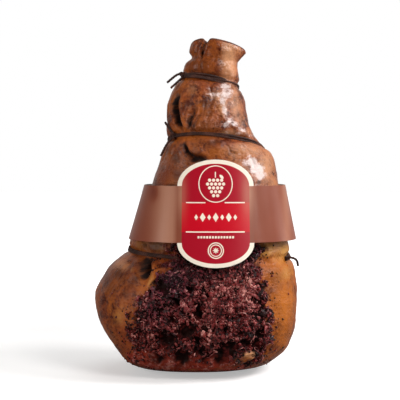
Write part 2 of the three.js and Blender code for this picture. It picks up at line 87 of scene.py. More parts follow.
# Finer creases that only the dressed skin has.
CREASES = [
    ([(-3, 304), (-7, 296), (-15, 288)], 1.6, (1.6, 1.2)),
    ([(14, 306), (17, 292), (13, 280)], 1.2, (1.8, 1.2)),
    ([(16, 301), (30, 300), (42, 297)], 0.8, (1.1, 0.9)),
    ([(18, 291), (32, 289), (43, 286)], 1.0, (1.2, 1.0)),
    ([(20, 281), (32, 280), (41, 276)], 0.8, (1.1, 0.9)),
    ([(24, 271), (38, 270), (48, 265)], 0.8, (1.1, 0.9)),
    ([(9, 262), (14, 274), (25, 281)], 1.2, (1.6, 1.2)),
    ([(26, 256), (33, 264), (38, 276)], 1.2, (1.6, 1.4)),
    ([(41, 253), (47, 262), (49, 275)], 1.2, (1.6, 1.4)),
    ([(-27, 244), (-31, 233), (-38, 222)], 1.3, (1.8, 1.6)),
    ([(-20, 246), (-22, 236), (-28, 226)], 1.2, (1.6, 1.6)),
    ([(30, 244), (35, 236), (45, 230)], 1.2, (1.8, 1.6)),
    ([(48, 240), (56, 231), (60, 219)], 1.2, (1.8, 1.6)),
    ([(-66, 122), (-75, 112), (-86, 96)], 2.4, (2.4, 3.2)),
    ([(-41, 121), (-46, 108), (-58, 98)], 2.0, (2.0, 2.6)),
    ([(-78, 108), (-90, 92), (-96, 74)], 1.8, (2.6, 3.0)),
    ([(70, 128), (76, 120), (88, 116)], 1.8, (2.0, 2.0)),
    ([(5, 352), (0, 343), (-2, 330)], 1.4, (1.4, 1.4)),
    ([(-9, 300), (-12, 285), (-12, 268)], 1.2, (1.0, 1.0)),
    ([(3, 290), (0, 276), (-3, 262)], 1.3, (1.0, 0.9)),
    ([(9, 286), (7, 274), (3, 262)], 1.1, (1.0, 0.9)),
]

# Slots that cut right up to a tie, and ridges where the skin is pulled up.
SLOTS = [
    ([(-52.5, 124), (-52.5, 117), (-52.5, 109)], 9, (4.6, 4.8)),
    ([(-54, 122), (-50, 116), (-50, 110)], 7, (3.6, 3.8)),
    ([(-24, 289), (-23, 278), (-20, 267), (-15, 256)], 5.0, (3.2, 0.9)),
    ([(-2, 277), (-6, 267), (-9, 257)], 1.2, (1.2, 1.0)),
    ([(-12, 243), (-10.5, 237), (-7, 231)], 3.5, (1.2, 1.6)),
    ([(-9, 234), (-3, 228), (6, 226)], 4.5, (2.4, 4.6)),
    ([(10.4, 354), (6.2, 338), (4, 316)], 2.5, (1.0, 0.9)),
]
RIDGES = [
    ([(38, 316), (34, 300), (29, 282), (32, 266), (43, 258), (58, 248)], 1.8, (5.5, 4.5)),
    ([(24, 281), (31, 265), (42, 260), (56, 249)], 2.2, (2.6, 2.8)),
    ([(30, 256), (40, 254), (50, 250)], 1.0, (2.4, 2.4)),
    ([(-12, 288), (-14, 272), (-11, 256)], 1.8, (3.4, 2.4)),
    ([(-8, 272), (-2, 262), (0, 253)], 1.2, (2.0, 2.0)),
    ([(2, 281), (-1, 270), (-5, 258)], 1.4, (1.3, 1.2)),
    ([(-9, 284), (-10, 272), (-11, 260)], 1.2, (1.4, 1.4)),
    ([(-30, 290), (-30, 272), (-21, 256)], 1.6, (3.0, 2.6)),
    ([(42, 19), (48, 22), (53, 23)], 2.4, (4.0, 4.0)),
    ([(27, 300), (36, 296), (46, 298)], 1.2, (3.0, 2.6)),
    ([(20, 288), (30, 290), (40, 285)], 1.0, (2.6, 2.6)),
    ([(-44, 122), (-44, 110), (-50, 94)], 2.2, (3.4, 4.0)),
    ([(-62, 122), (-64, 112), (-72, 102)], 1.4, (3.4, 4.0)),
    ([(72, 128), (80, 122), (92, 118)], 1.6, (4.0, 4.0)),
    ([(-16, 240), (-15, 230), (-10, 222)], 1.4, (3.0, 3.0)),
    ([(2, 240), (4, 234), (12, 230)], 1.2, (2.6, 2.6)),
]

# The crust's outline seen from the front, and how far it rises in lumps.
MARC_OUTLINE = [
    (-18, 143), (-30, 130), (-32, 118), (-41.5, 98), (-52, 89), (-61, 78), (-66, 61), (-66, 44), (-68, 28), (-57, 8),
    (3, 2), (45, 6), (67, 28), (73, 56), (71, 84), (70, 101), (66, 114), (65, 127), (60, 142), (20, 146),
]
MARC = dict(rise=1.6, lump=1.3, lump_size=3.0)

# The sleeve's inner wall at its lower and upper edge as left, right, front and back, and its label face.
SLEEVE = dict(
    low_z=142.5, low=(-72.5, 106, -77, 84), high_z=199.5, high=(-56, 94.7, -60, 72), squareness=2.5, card=0.6,
    lap=16, room=1.2, label_x=19.4, label_half=38.7, lobe_up=27, lobe_down=24.5,
)

# Soft patches seen from the front, by what they change: x, z, reach across, reach up, strength.
PATCHES = {
    "amber": [  # bare fat under thin rind
        (92, 112, 24, 26, 1.0), (92, 78, 20, 34, 0.95), (90, 48, 16, 26, 0.7), (-46, 104, 5, 14, 0.2),
        (48, 332, 8, 12, 0.5), (48, 226, 24, 16, 0.55), (20, 233, 22, 10, 0.45), (48, 21, 7, 5, 1.3),
        (38, 18, 20, 4, 0.8), (-5, 13, 10, 3.5, 0.8), (-88, 74, 8, 20, 0.4), (84, 212, 8, 18, 0.5),
        (8, 284, 18, 12, 0.45), (-96, 92, 8, 10, 0.4), (2, 262, 6, 10, 0.35), (70, 26, 12, 8, 0.5),
        (-4, 296, 8, 8, 0.4), (22, 12, 30, 5, 0.5),
    ],
    "dusky": [  # smoked patches, and painted shade along the sleeve's edges, in creases, on the left side away from the lamps and along the bottom
        (-26, 199, 8, 3, 1.2), (-36, 212, 14, 16, 0.4), (-34, 240, 6, 6, 0.6), (-27, 283, 4, 10, 0.6),
        (-4, 262, 3, 8, 0.8), (4, 326, 16, 12, 0.8), (-8, 340, 8, 12, 0.6), (-40, 216, 22, 26, 0.5),
        (-92, 98, 10, 14, 0.7), (12, 346, 9, 8, 0.4), (12, 280, 6, 16, 0.5), (10, 262, 16, 8, 0.45),
        (-2, 228, 12, 8, 0.7), (-84, 108, 6, 8, 0.6), (-66, 98, 8, 6, 0.4), (-24, 300, 10, 20, 0.5),
        (-10, 4, 70, 7, 0.6), (-30, 262, 9, 14, 0.5), (-60, 118, 12, 12, 0.5), (22, 330, 12, 22, 0.5),
        (24, 318, 14, 6, 0.4), (-32, 214, 14, 14, 0.4), (14, 284, 6, 14, 0.4), (-30, 237, 6, 6, 1.0),
        (-40, 228, 5, 5, 0.9), (-21, 227, 6, 6, 0.9), (-36, 217, 5, 6, 0.8), (-28, 268, 4, 14, 0.7),
        (-26, 292, 6, 6, 0.6), (16, 244, 6, 4, 0.9), (26, 222, 5, 4, 0.6), (-96, 100, 6, 10, 0.8),
        (-72, 90, 5, 6, 0.6), (-84, 60, 5, 5, 0.5), (-62, 104, 4, 8, 0.7), (-82, 107, 10, 9, 0.8),
        (58, 203, 3, 3, 1.4), (66, 203, 2.4, 2.4, 1.4), (82, 104, 8, 11, 0.5), (-30, 13, 20, 8, 0.9),
        (-44, 196, 12, 10, 0.9), (70, 92, 6, 10, 0.4), (-20, 211, 7, 7, 0.8), (12, 247, 16, 6, 0.5),
        (12, 315, 10, 5, 0.9), (-46, 137, 20, 8, 0.9), (96, 12, 16, 8, 0.5),
    ],
    "greasy": [  # wet with fat
        (52, 212, 15, 16, 0.8), (22, 292, 18, 7, 0.8), (30, 300, 12, 6, 0.9), (27, 279, 6, 8, 0.9),
        (33, 267, 7, 6, 1.0), (42, 261, 9, 5, 1.0), (54, 253, 10, 5, 1.0), (38, 310, 10, 7, 0.8),
        (36, 340, 10, 12, 0.5), (0, 8, 60, 10, 0.6), (10, 262, 20, 8, 0.5), (-26, 226, 16, 12, 0.5),
    ],
    "frost": [  # painted highlights where the lamps reflect on the shoulder and the neck's ridge, with some pale grease
        (58, 224, 8, 6, 0.9), (64, 217, 9, 7, 1.0), (68, 210, 7, 6, 0.8), (55, 230, 5, 4, 0.6),
        (32, 299, 10, 5, 0.6), (20, 295, 13, 5, 0.62), (14, 301, 8, 3, 0.5), (26, 286, 8, 5, 0.45),
        (29, 279, 5, 9, 0.55), (26, 290, 9, 6, 0.4), (35, 267, 8, 5, 0.6), (46, 259, 8, 4, 0.6),
        (56, 252, 7, 3.5, 0.7), (37, 311, 6, 3, 0.45), (49, 25, 4, 3, 0.25), (27, 288, 4, 8, 0.7),
        (30, 276, 4, 6, 0.6), (38, 264, 7, 3.5, 0.7), (48, 257, 6, 3, 0.7), (32, 254, 8, 4, 0.5),
        (43, 254, 8, 4, 0.5), (30, 295, 10, 7, 0.7), (31, 304, 9, 5, 0.8), (52, 224, 7, 8, 0.6),
        (40, 285, 9, 8, 0.5), (30, 263, 6, 6, 0.6), (48, 240, 12, 8, 0.4), (44, 232, 8, 8, 0.4),
        (50, 232, 6, 4, 0.4),
    ],
    "tan": [  # pale skin, and painted light on the side that faces the lamps and on the fat lump
        (42, 284, 8, 18, 0.8), (48, 236, 14, 8, 0.7), (34, 254, 10, 4, 0.9), (82, 202, 8, 12, 0.7),
        (40, 230, 10, 6, 0.5), (34, 332, 9, 24, 1.5), (42, 345, 9, 10, 0.9), (24, 294, 14, 7, 0.7),
        (-4, 300, 8, 9, 0.5), (28, 282, 6, 12, 0.7), (40, 296, 10, 22, 0.7), (46, 270, 12, 14, 0.6),
        (52, 256, 14, 6, 0.6), (60, 236, 14, 10, 0.7), (74, 222, 12, 22, 0.9), (50, 26, 9, 8, 2.6),
        (36, 236, 14, 8, 0.4), (80, 134, 14, 7, 0.8), (-50, 137, 3, 9, 0.6), (-78, 116, 12, 7, 0.6),
        (-7, 283, 3, 8, 0.4),
    ],
    "gold": [  # yellowish fat
        (96, 132, 18, 14, 1.0), (72, 134, 12, 9, 0.9), (94, 108, 10, 10, 0.6), (-46, 104, 5, 14, 0.5),
        (-57, 138, 8, 8, 0.5), (-40, 137, 9, 8, 0.5), (-66, 114, 6, 6, 0.3), (50, 26, 8, 6, 0.3),
        (22, 284, 8, 12, 0.3), (-80, 66, 12, 16, 0.4),
    ],
    "violet": [  # blackish violet marc
        (-28, 104, 22, 22, 1.0), (58, 130, 12, 12, 0.8), (-40, 74, 14, 16, 0.6), (2, 112, 18, 10, 0.5),
    ],
    "maroon": [  # stained by the marc
        (-66, 24, 16, 20, 0.8), (-36, 214, 16, 18, 0.9), (-40, 196, 16, 14, 0.8), (-20, 211, 8, 8, 0.6),
        (-50, 30, 34, 26, 0.9), (20, 16, 60, 14, 1.0), (8, 44, 16, 20, 0.7), (-68, 44, 18, 26, 0.8),
    ],
    "pale": [  # pinkish marc
        (10, 58, 8, 16, 0.9), (10, 88, 8, 8, 0.7), (44, 96, 14, 12, 1.2), (12, 45, 8, 6, 0.5),
        (20, 98, 28, 10, 0.7), (-4, 84, 10, 8, 0.4), (42, 90, 18, 14, 0.9), (16, 84, 16, 12, 0.7),
        (-12, 68, 14, 10, 0.5), (34, 72, 18, 8, 0.4), (-44, 62, 10, 8, 0.3),
    ],
    "fat": [  # lumps of fat that show through the crust
        (44, 21, 7, 4, 1.0), (51, 27, 6, 5, 1.2), (62, 18, 5, 2.2, 0.7), (36, 16, 7, 2.4, 0.8),
        (-5, 12, 9, 2.2, 0.7), (24, 13, 6, 1.8, 0.6),
    ],
    "void": [  # small holes in the crust
        (3, 72, 4, 7, 1.1), (-31, 45, 8, 8, 1.1), (-14, 25, 9, 8, 1.1), (25, 27, 8, 8, 1.3), (34, 38, 7, 5, 1.2),
        (49, 41, 5, 4, 1.1), (60, 38, 5, 6, 1.1), (75, 30, 5, 5, 1.1), (-20, 84, 5, 8, 0.7), (-40, 24, 7, 6, 0.9),
        (-10, 54, 9, 8, 1.0), (42, 52, 5, 3, 0.5), (-6, 96, 6, 4, 0.6), (-55, 52, 4, 4, 0.4), (2, 34, 6, 6, 0.6),
        (-24, 66, 5, 5, 0.6), (0, 46, 5, 5, 0.7), (-34, 98, 6, 6, 0.6), (62, 120, 6, 6, 0.5), (62, 50, 5, 5, 0.7),
        (28, 56, 4, 4, 0.5),
    ],
}

# How finely the pieces are divided: the skin's columns and rows; the sleeve's columns on its label and on each wing,
# and its rows outside and inside.
COLUMNS = 350
BODY_ROWS = 245
CARD_GRID = dict(label=170, wing=46, outside=232, inside=8)

# The twine's radius, how far it and the sleeve's lap keep clear of what they lie on, and the angle where the neck's
# turns lie furthest apart.
TWINE_RADIUS = 1.3
GAP = 0.7
NECK_SPREAD_AT = 225

# Each knot: its angle, how far out it sits, its size, how far its strands weave, and its free ends, each as corners
# from the knot and a tip. A tip's y counts from the knot where tips_from_knot is 1.
KNOTS = {
    "neck": dict(turn=203, out=1.6, size=0.95, weave=0.5, tips_from_knot=1, ends=[
        ([(-1, -1, 2.5), (-8, -2, 0)], (-31.5, -2, 308.5)), ([(-1, -2, -2), (-6, -6.5, -7)], (-27.5, -7.5, 302.5))]),
    "shoulder": dict(turn=217, out=1.8, size=1.05, weave=0.6, tips_from_knot=0, ends=[
        ([(-1, 0, 1), (-4.5, 1, 6)], (-33.5, -16, 266)), ([(-1, 0, -1), (-8, 1, -8)], (-38, -17, 230.5))]),
}
# The belly's free end, as corners from where its strand begins, and the angles between which its strands lie.
BELLY_HOOK = np.array([(0.5, 0.5, 0), (6, -2, 1), (11, -4, -1.5), (12.5, -5, -7.5)])
BELLY_SPAN = (-20, 246)

# The cuff's rolled edge and the dish inside it: how far in, how far down, and how wide the ring still is.
CUFF_EDGE = [
    (0.15, 1.9, 1), (0.4, 1.35, 1), (0.8, 0.85, 1), (1.4, 0.35, 1), (2.5, 0, 1), (3.6, 0.12, 1), (4.6, 0.5, 1),
    (5.4, 1.3, 1), (6.0, 2.6, 1), (6.4, 4.8, 1), (6.5, 7, 0.9), (6.5, 8.6, 0.75), (6.5, 9.2, 0.5), (6.5, 9.4, 0.25),
]
UNDERSIDE_RINGS = (0.25, 0.5, 0.75, 0.93)

# Colours laid over the rind: the patch that asks for each, how far blotches break it up, the range that brings it
# in, its greatest share, and its name.
RIND_LAYERS = [
    ("tan", 0.9, 0.8, 1.6, 1.0, "rind_tan_and_painted_light"), ("amber", 0.9, 0.85, 1.5, 1.0, "rind_amber"),
    ("maroon", 0.7, 0.75, 1.4, 0.8, "rind_stained"), ("gold", 0.9, 0.85, 1.5, 1.0, "rind_gold"),
]
# Painted shade deep in the rind's folds and in the crust's gaps, and the card's own colour on its inside.
FOLD_SHADE_COLOR = "1a0a06"
CREVICE_SHADE_COLOR = "1a0705"
CARD_BACK_COLOR = "b9a58c"

# The marc's shapes: how many kinds, how slim, how flat, how far they are crumpled, how far they tumble, how fine.
MARC_SHAPES = {
    "skins": (5, 0.5, 0.3, 0.0028, 1.2, 2), "husks": (5, 0.6, 0.45, 0.004, 1.0, 2),
    "crumbs": (4, 0.6, 0.7, 0.0012, 1.5, 1), "flecks": (4, 0.25, 0.3, 0.0014, 0.9, 1),
}

# The label's print: its pale border's width, the oval's middle and half sizes, and the rows' heights and steps; then
# the bunch of grapes (berries in each row and its height), its leaf and stalk, and the ruled lines (ends and height).
PRINT = dict(
    border=4.2, emblem_z=201.7, emblem=(17, 18.4), lozenge_z=168.1, lozenge_step=6.6, square_z=148.3, square_step=2.9,
    seal_z=135.2,
)
BERRIES = [(4, 205.5), (5, 201.6), (4, 197.7), (3, 193.8), (2, 189.9)]
BERRY = dict(radius=1.65, spacing=4.1)
LEAF = dict(radius=3.6, lobes=[(4.6, 207.4), (7.6, 210.6)])
STALK = dict(x=-0.2, z=211.0, half_x=0.55, half_z=3.0)
RULES = [(-10.4, -30.2, 182.8), (9.2, 29.8, 182.8), (-30.2, 29.4, 153.5)]
RULE_HALF_THICK = 0.6

# Painted highlights: lighter bands that stand for the lamps' reflections on the wings and on the label's red: x,
# reach, strength.
WING_PAINTED_SHEEN = [(-32, 12, 1), (-20, 8, 0.3), (94, 5, 0.6), (24, 9, 0.5)]
LABEL_PAINTED_SHEEN = [(52, 6, 1.1), (-15, 5, 0.9)]

# The studio: each lamp's name, the value that holds its power, its place, width, height and colour; then where the
# lamps aim, the camera, and half the floor's width. These are in metres.
LAMPS = [
    ("key", "key", (0.8, -1.0, 0.95), 0.5, 0.65, (1.0, 0.98, 0.96)),
    ("side", "side", (1.1, -0.25, 1.0), 0.45, 0.5, (1.0, 0.98, 0.98)),
    ("rim", "rim", (1.3, 0.2, 0.45), 0.5, 0.7, (1.0, 0.97, 0.95)),
    ("left_strip", "left", (-1.06, -0.72, 0.33), 0.3, 0.85, (1.0, 0.97, 0.93)),
    ("top", "top", (0.1, 0.3, 1.3), 0.9, 0.9, (1.0, 1.0, 1.0)),
]
LAMPS_AIM = Vector((0.0, 0.0, 0.17))
CAMERA = dict(lens=96.12, sensor=36.0, distance=1.15, elevation=2.2, aim=(0.0035, 0.0, 0.183), clip_start=0.05)
FLOOR_HALF = 6.0


# Curves and distances

def through(heights, values, at):
    """Values at some heights on a monotone cubic through a table, one column of the table or one for each point."""
    heights, values = np.asarray(heights, float), np.asarray(values, float)
    gaps = np.diff(heights)
    slopes = np.diff(values, axis=0) / gaps.reshape([-1] + [1] * (values.ndim - 1))
    turning = slopes[:-1] * slopes[1:]
    middle = np.where(turning > 0, 2 * turning / np.where(turning > 0, slopes[:-1] + slopes[1:], 1), 0)
    tangents = np.concatenate([slopes[:1], middle, slopes[-1:]])
    at = np.clip(at, heights[0], heights[-1])
    i = np.clip(np.searchsorted(heights, at, side="right") - 1, 0, len(gaps) - 1)
    if values.ndim == 1:
        low, high, leaving, reaching = values[i], values[i + 1], tangents[i], tangents[i + 1]
    else:
        k = np.arange(len(at))
        low, high, leaving, reaching = values[i, k], values[i + 1, k], tangents[i, k], tangents[i + 1, k]
    h = gaps[i]
    t = (at - heights[i]) / h
    rise = t * t * (3 - 2 * t)
    return low + (high - low) * rise + h * t * (1 - t) * (leaving * (1 - t) - reaching * t)


def bell(t):
    return np.exp(-t * t)


def spline(points, steps=10, closed=False):
    """A smooth line through points, as rows."""
    p = np.asarray(points, float)
    count = len(p)
    at = (lambda k: p[k % count]) if closed else (lambda k: p[min(max(k, 0), count - 1)])
    out = []
    for k in range(count if closed else count - 1):
        a, b, c, d = at(k - 1), at(k), at(k + 1), at(k + 2)
        for t in np.arange(steps) / steps:
            curved = (2 * a - 5 * b + 4 * c - d) * t**2 + (3 * b - a - 3 * c + d) * t**3
            out.append(0.5 * (2 * b + (c - a) * t + curved))
    return np.array(out if closed else out + [p[-1]])


def rim_distance(angle, half_x, half_y, squareness):
    across, along = np.abs(np.cos(angle)) / half_x, np.abs(np.sin(angle)) / half_y
    return (across**squareness + along**squareness) ** (-1 / squareness)


# The ham's shape

def section(z):
    left, right, front, back = (through(SECTIONS[:, 0], SECTIONS[:, k], z) for k in (1, 2, 3, 4))
    return (left + right) / 2, (front + back) / 2, (right - left) / 2, (back - front) / 2


def lean(angle, highest, tilt):
    return tilt * np.cos(angle - math.radians(highest))


def lift(angle, level):
    """How far a row of a given level is lifted at an angle: rows follow the ties and the rim."""
    off = angle - math.radians(RIM["notch_at"])
    off = np.arctan2(np.sin(off), np.cos(off)) / math.radians(RIM["notch_width"])
    rim = lean(angle, RIM["highest"], RIM["tilt"]) - RIM["tilt"] - RIM["notch"] * bell(off)
    ties = [lean(angle, tie["highest"], tie["tilt"]) for tie in TIES.values()]
    heights = [0, 60] + [tie["height"] for tie in TIES.values()] + [HEIGHT]
    return through(heights, np.stack([0 * angle, 0 * angle] + ties + [rim]), level)


def lumps(p, size):
    x, y, z = p.T
    return (np.sin((x + 0.6 * z) / size + 1.1) + np.sin((y - 0.5 * x) / size + 2.3)
            + np.sin((z + 0.7 * y) / size + 0.4)) / 3


def smooth_point(angle, level, out=0.0):
    """The ham without its folds, at angles round it and levels up it."""
    angle, level = np.broadcast_arrays(np.asarray(angle, float), np.asarray(level, float))
    z = level + lift(angle, level)
    x, y, half_x, half_y = section(z)
    r = rim_distance(angle, half_x, half_y, SQUARENESS) + out
    return np.stack([x + r * np.cos(angle), y + r * np.sin(angle), z], axis=-1)


def front_place(x, z):
    """The angle and the level at which the front of the ham lies at x and z."""
    x, z = np.atleast_1d(np.asarray(x, float)), np.atleast_1d(np.asarray(z, float))
    mid_x, _, half_x, half_y = section(z)
    share = np.clip((x - mid_x) / half_x, -0.999, 0.999)
    y = -half_y * (1 - np.abs(share) ** SQUARENESS) ** (1 / SQUARENESS)
    angle = np.arctan2(y, share * half_x)
    level = z.copy()
    for _ in range(8):
        level += z - (level + lift(angle, level))
    return angle, level


def fold_paths(folds):
    """Each fold's line laid on the smooth ham."""
    paths = []
    for line, depth, widths in folds:
        corners = smooth_point(*front_place(*np.array(line, float).T))
        paths.append((spline(corners), depth, widths))
    return paths


def fold_steps(points, paths):
    """At each step along each fold: its depth, its taper, and how far the points are from it in half widths."""
    for path, deepest, (first, last) in paths:
        for along, at in zip(np.linspace(0, 1, len(path)), path):
            width = first + (last - first) * along
            yield deepest, math.sin(math.pi * (0.12 + 0.76 * along)), np.linalg.norm(points - at, axis=1) / width


def fold_depth(points, paths):
    """How deep the folds are at each point."""
    depth = np.zeros(len(points))
    for deepest, taper, away in fold_steps(points, paths):
        depth = np.maximum(depth, deepest * taper * bell(away))
    return depth


def fold_lips(points, paths):
    """How high the skin swells beside its folds."""
    lips = np.zeros(len(points))
    for deepest, taper, away in fold_steps(points, paths):
        lips = np.maximum(lips, deepest**0.5 * 0.6 * taper * bell((away - 2.0) / 0.8))
    return lips


def marc_depth(x, z):
    """How deep a front point lies inside the marc's outline, in millimetres: negative outside it."""
    edge = spline(MARC_OUTLINE, 3, closed=True)
    inside, nearest = np.zeros(len(x), bool), np.full(len(x), 1e9)
    for (ax, az), (bx, bz) in zip(edge, np.roll(edge, -1, axis=0)):
        crosses = (az > z) != (bz > z)
        inside ^= crosses & (x < ax + (bx - ax) * (z - az) / (bz - az if bz != az else 1))
        t = np.clip(((x - ax) * (bx - ax) + (z - az) * (bz - az)) / ((bx - ax) ** 2 + (bz - az) ** 2), 0, 1)
        nearest = np.minimum(nearest, np.hypot(x - ax - t * (bx - ax), z - az - t * (bz - az)))
    return np.where(inside, nearest, -nearest)


def near_ties(level):
    return np.max([bell((level - tie["height"]) / (1.4 * tie["spread"])) for tie in TIES.values()], axis=0)


PATHS = fold_paths(FOLDS)
CREASE_PATHS = fold_paths(CREASES)
SLOT_PATHS = fold_paths(SLOTS)
RIDGE_PATHS = fold_paths(RIDGES)


def relief(angle, level, p):
    """What moves the skin in or out from the smooth ham, as in the part's source."""
    off_floor = np.clip(level / 12, 0, 1)
    out = 1.8 * lumps(p, 17) * off_floor
    for tie in TIES.values():
        away = level - tie["height"]
        out -= tie["bite"] * bell((away / tie["spread"]) ** 2)
        out += 0.4 * tie["bite"] * bell((np.abs(away) - 13) / 8)
        turn = GATHERS["count"] * angle + 1.3 * np.sin(2 * angle) + tie["height"]
        fan = bell((np.abs(away) - 9) / GATHERS["reach"]) * (1 - bell(away / 7))
        out -= GATHERS["depth"] * np.maximum(0, np.cos(turn)) ** 2 * fan
    clear = 1 - near_ties(level)
    out -= fold_depth(p, PATHS) * clear
    crust = np.clip(marc_depth(p[:, 0], p[:, 2]) / 5, 0, 1) * (p[:, 1] < 0)
    return out + crust * (MARC["rise"] + MARC["lump"] * lumps(p, MARC["lump_size"])) * off_floor * clear


def sleeve_section(z):
    """Where the sleeve's inner wall lies at a height."""
    share = (z - SLEEVE["low_z"]) / (SLEEVE["high_z"] - SLEEVE["low_z"])
    left, right, front, back = (a + (b - a) * share for a, b in zip(SLEEVE["low"], SLEEVE["high"]))
    return (left + right) / 2, (front + back) / 2, (right - left) / 2, (back - front) / 2


def held_in(p):
    """The sleeve holds the skin in: points too near its wall are drawn back towards its middle."""
    x, y, half_x, half_y = sleeve_section(p[:, 2])
    power = SLEEVE["squareness"]
    reach = (np.abs((p[:, 0] - x) / half_x) ** power + np.abs((p[:, 1] - y) / half_y) ** power) ** (1 / power)
    beside = (p[:, 0] - SLEEVE["label_x"]) / (SLEEVE["label_half"] + 8)
    lobe = np.where(p[:, 1] < 0, np.sqrt(np.maximum(0, 1 - beside**2)), 0)
    bottom = SLEEVE["low_z"] - SLEEVE["lobe_down"] * lobe - 7
    top = SLEEVE["high_z"] + SLEEVE["lobe_up"] * lobe + 7
    held = np.clip((p[:, 2] - bottom) / 7, 0, 1) * np.clip((top - p[:, 2]) / 7, 0, 1)
    excess = np.maximum(0, reach - (1 - SLEEVE["room"] / np.minimum(half_x, half_y))) * held
    keep = 1 - excess / reach
    return np.stack([x + (p[:, 0] - x) * keep, y + (p[:, 1] - y) * keep, p[:, 2]], axis=1)


def ham_point(angle, level, extra=0.0):
    """Points of the skin, with some extra relief on top of the source's."""
    angle, level = np.broadcast_arrays(np.asarray(angle, float), np.asarray(level, float))
    p = smooth_point(angle, level)
    return held_in(smooth_point(angle, level, relief(angle, level, p) + extra))


# Noise at many points

def noise_at(points, size, detail=1, ridged=False):
    """Smooth noise from about -1 to 1, with features of a size in millimetres; ridged noise has sharp valleys."""
    total, weight = np.zeros(len(points)), 1.0
    for octave in range(detail):
        q = points / (size / 2**octave) + 31.7 * (octave + 1)
        layer = np.array([noise.noise(Vector(v)) for v in q])
        total += weight * (1 - 2 * np.abs(layer) * 1.6 if ridged else layer * 1.6)
        weight /= 2
    return total / (2 - 2 * weight)


def clods_at(points, size):
    """Height of packed clods: 1 at a clod's middle, falling to 0 and below in the gaps between them."""
    return np.array([1 - 1.45 * noise.voronoi(Vector(v))[0][0] for v in points / size])


def patches(p, name):
    """How strong the named soft patches are at each point. They fade out round the sides."""
    total = np.zeros(len(p))
    for x, z, across, up, strength in PATCHES[name]:
        total = np.maximum(total, strength * bell((p[:, 0] - x) / across) * bell((p[:, 2] - z) / up))
    return total * np.clip(0.5 - p[:, 1] / 60, 0, 1)


# Meshes, objects and modifiers

def add_object(name, data):
    """A new object that shows some data in the scene."""
    item = bpy.data.objects.new(name, data)
    bpy.context.scene.collection.objects.link(item)
    return item


def mesh_object(name, vertices_mm, faces, edges=()):
    """A new object at the origin, smoothly shaded, from points in millimetres."""
    mesh = bpy.data.meshes.new(name)
    mesh.from_pydata((np.asarray(vertices_mm) * MM).tolist(), list(edges), faces)
    mesh.update()
    mesh.polygons.foreach_set("use_smooth", [True] * len(mesh.polygons))
    return add_object(name, mesh)


def grid_faces(rows, columns, closed, first=0):
    """Quads between rows of points; the columns close into a ring or stay open."""
    r, c = np.meshgrid(np.arange(rows - 1), np.arange(columns if closed else columns - 1), indexing="ij")
    n = (c + 1) % columns
    quads = np.stack([r * columns + c, r * columns + n, (r + 1) * columns + n, (r + 1) * columns + c], axis=-1)
    return (quads.reshape(-1, 4) + first).tolist()


def set_attribute(mesh, name, values):
    layer = mesh.attributes.new(name, "FLOAT", "POINT")
    layer.data.foreach_set("value", np.asarray(values, dtype=np.float32))


def place(item, *nodes, slot):
    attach(item, "root")
    if nodes:
        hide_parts(*nodes)


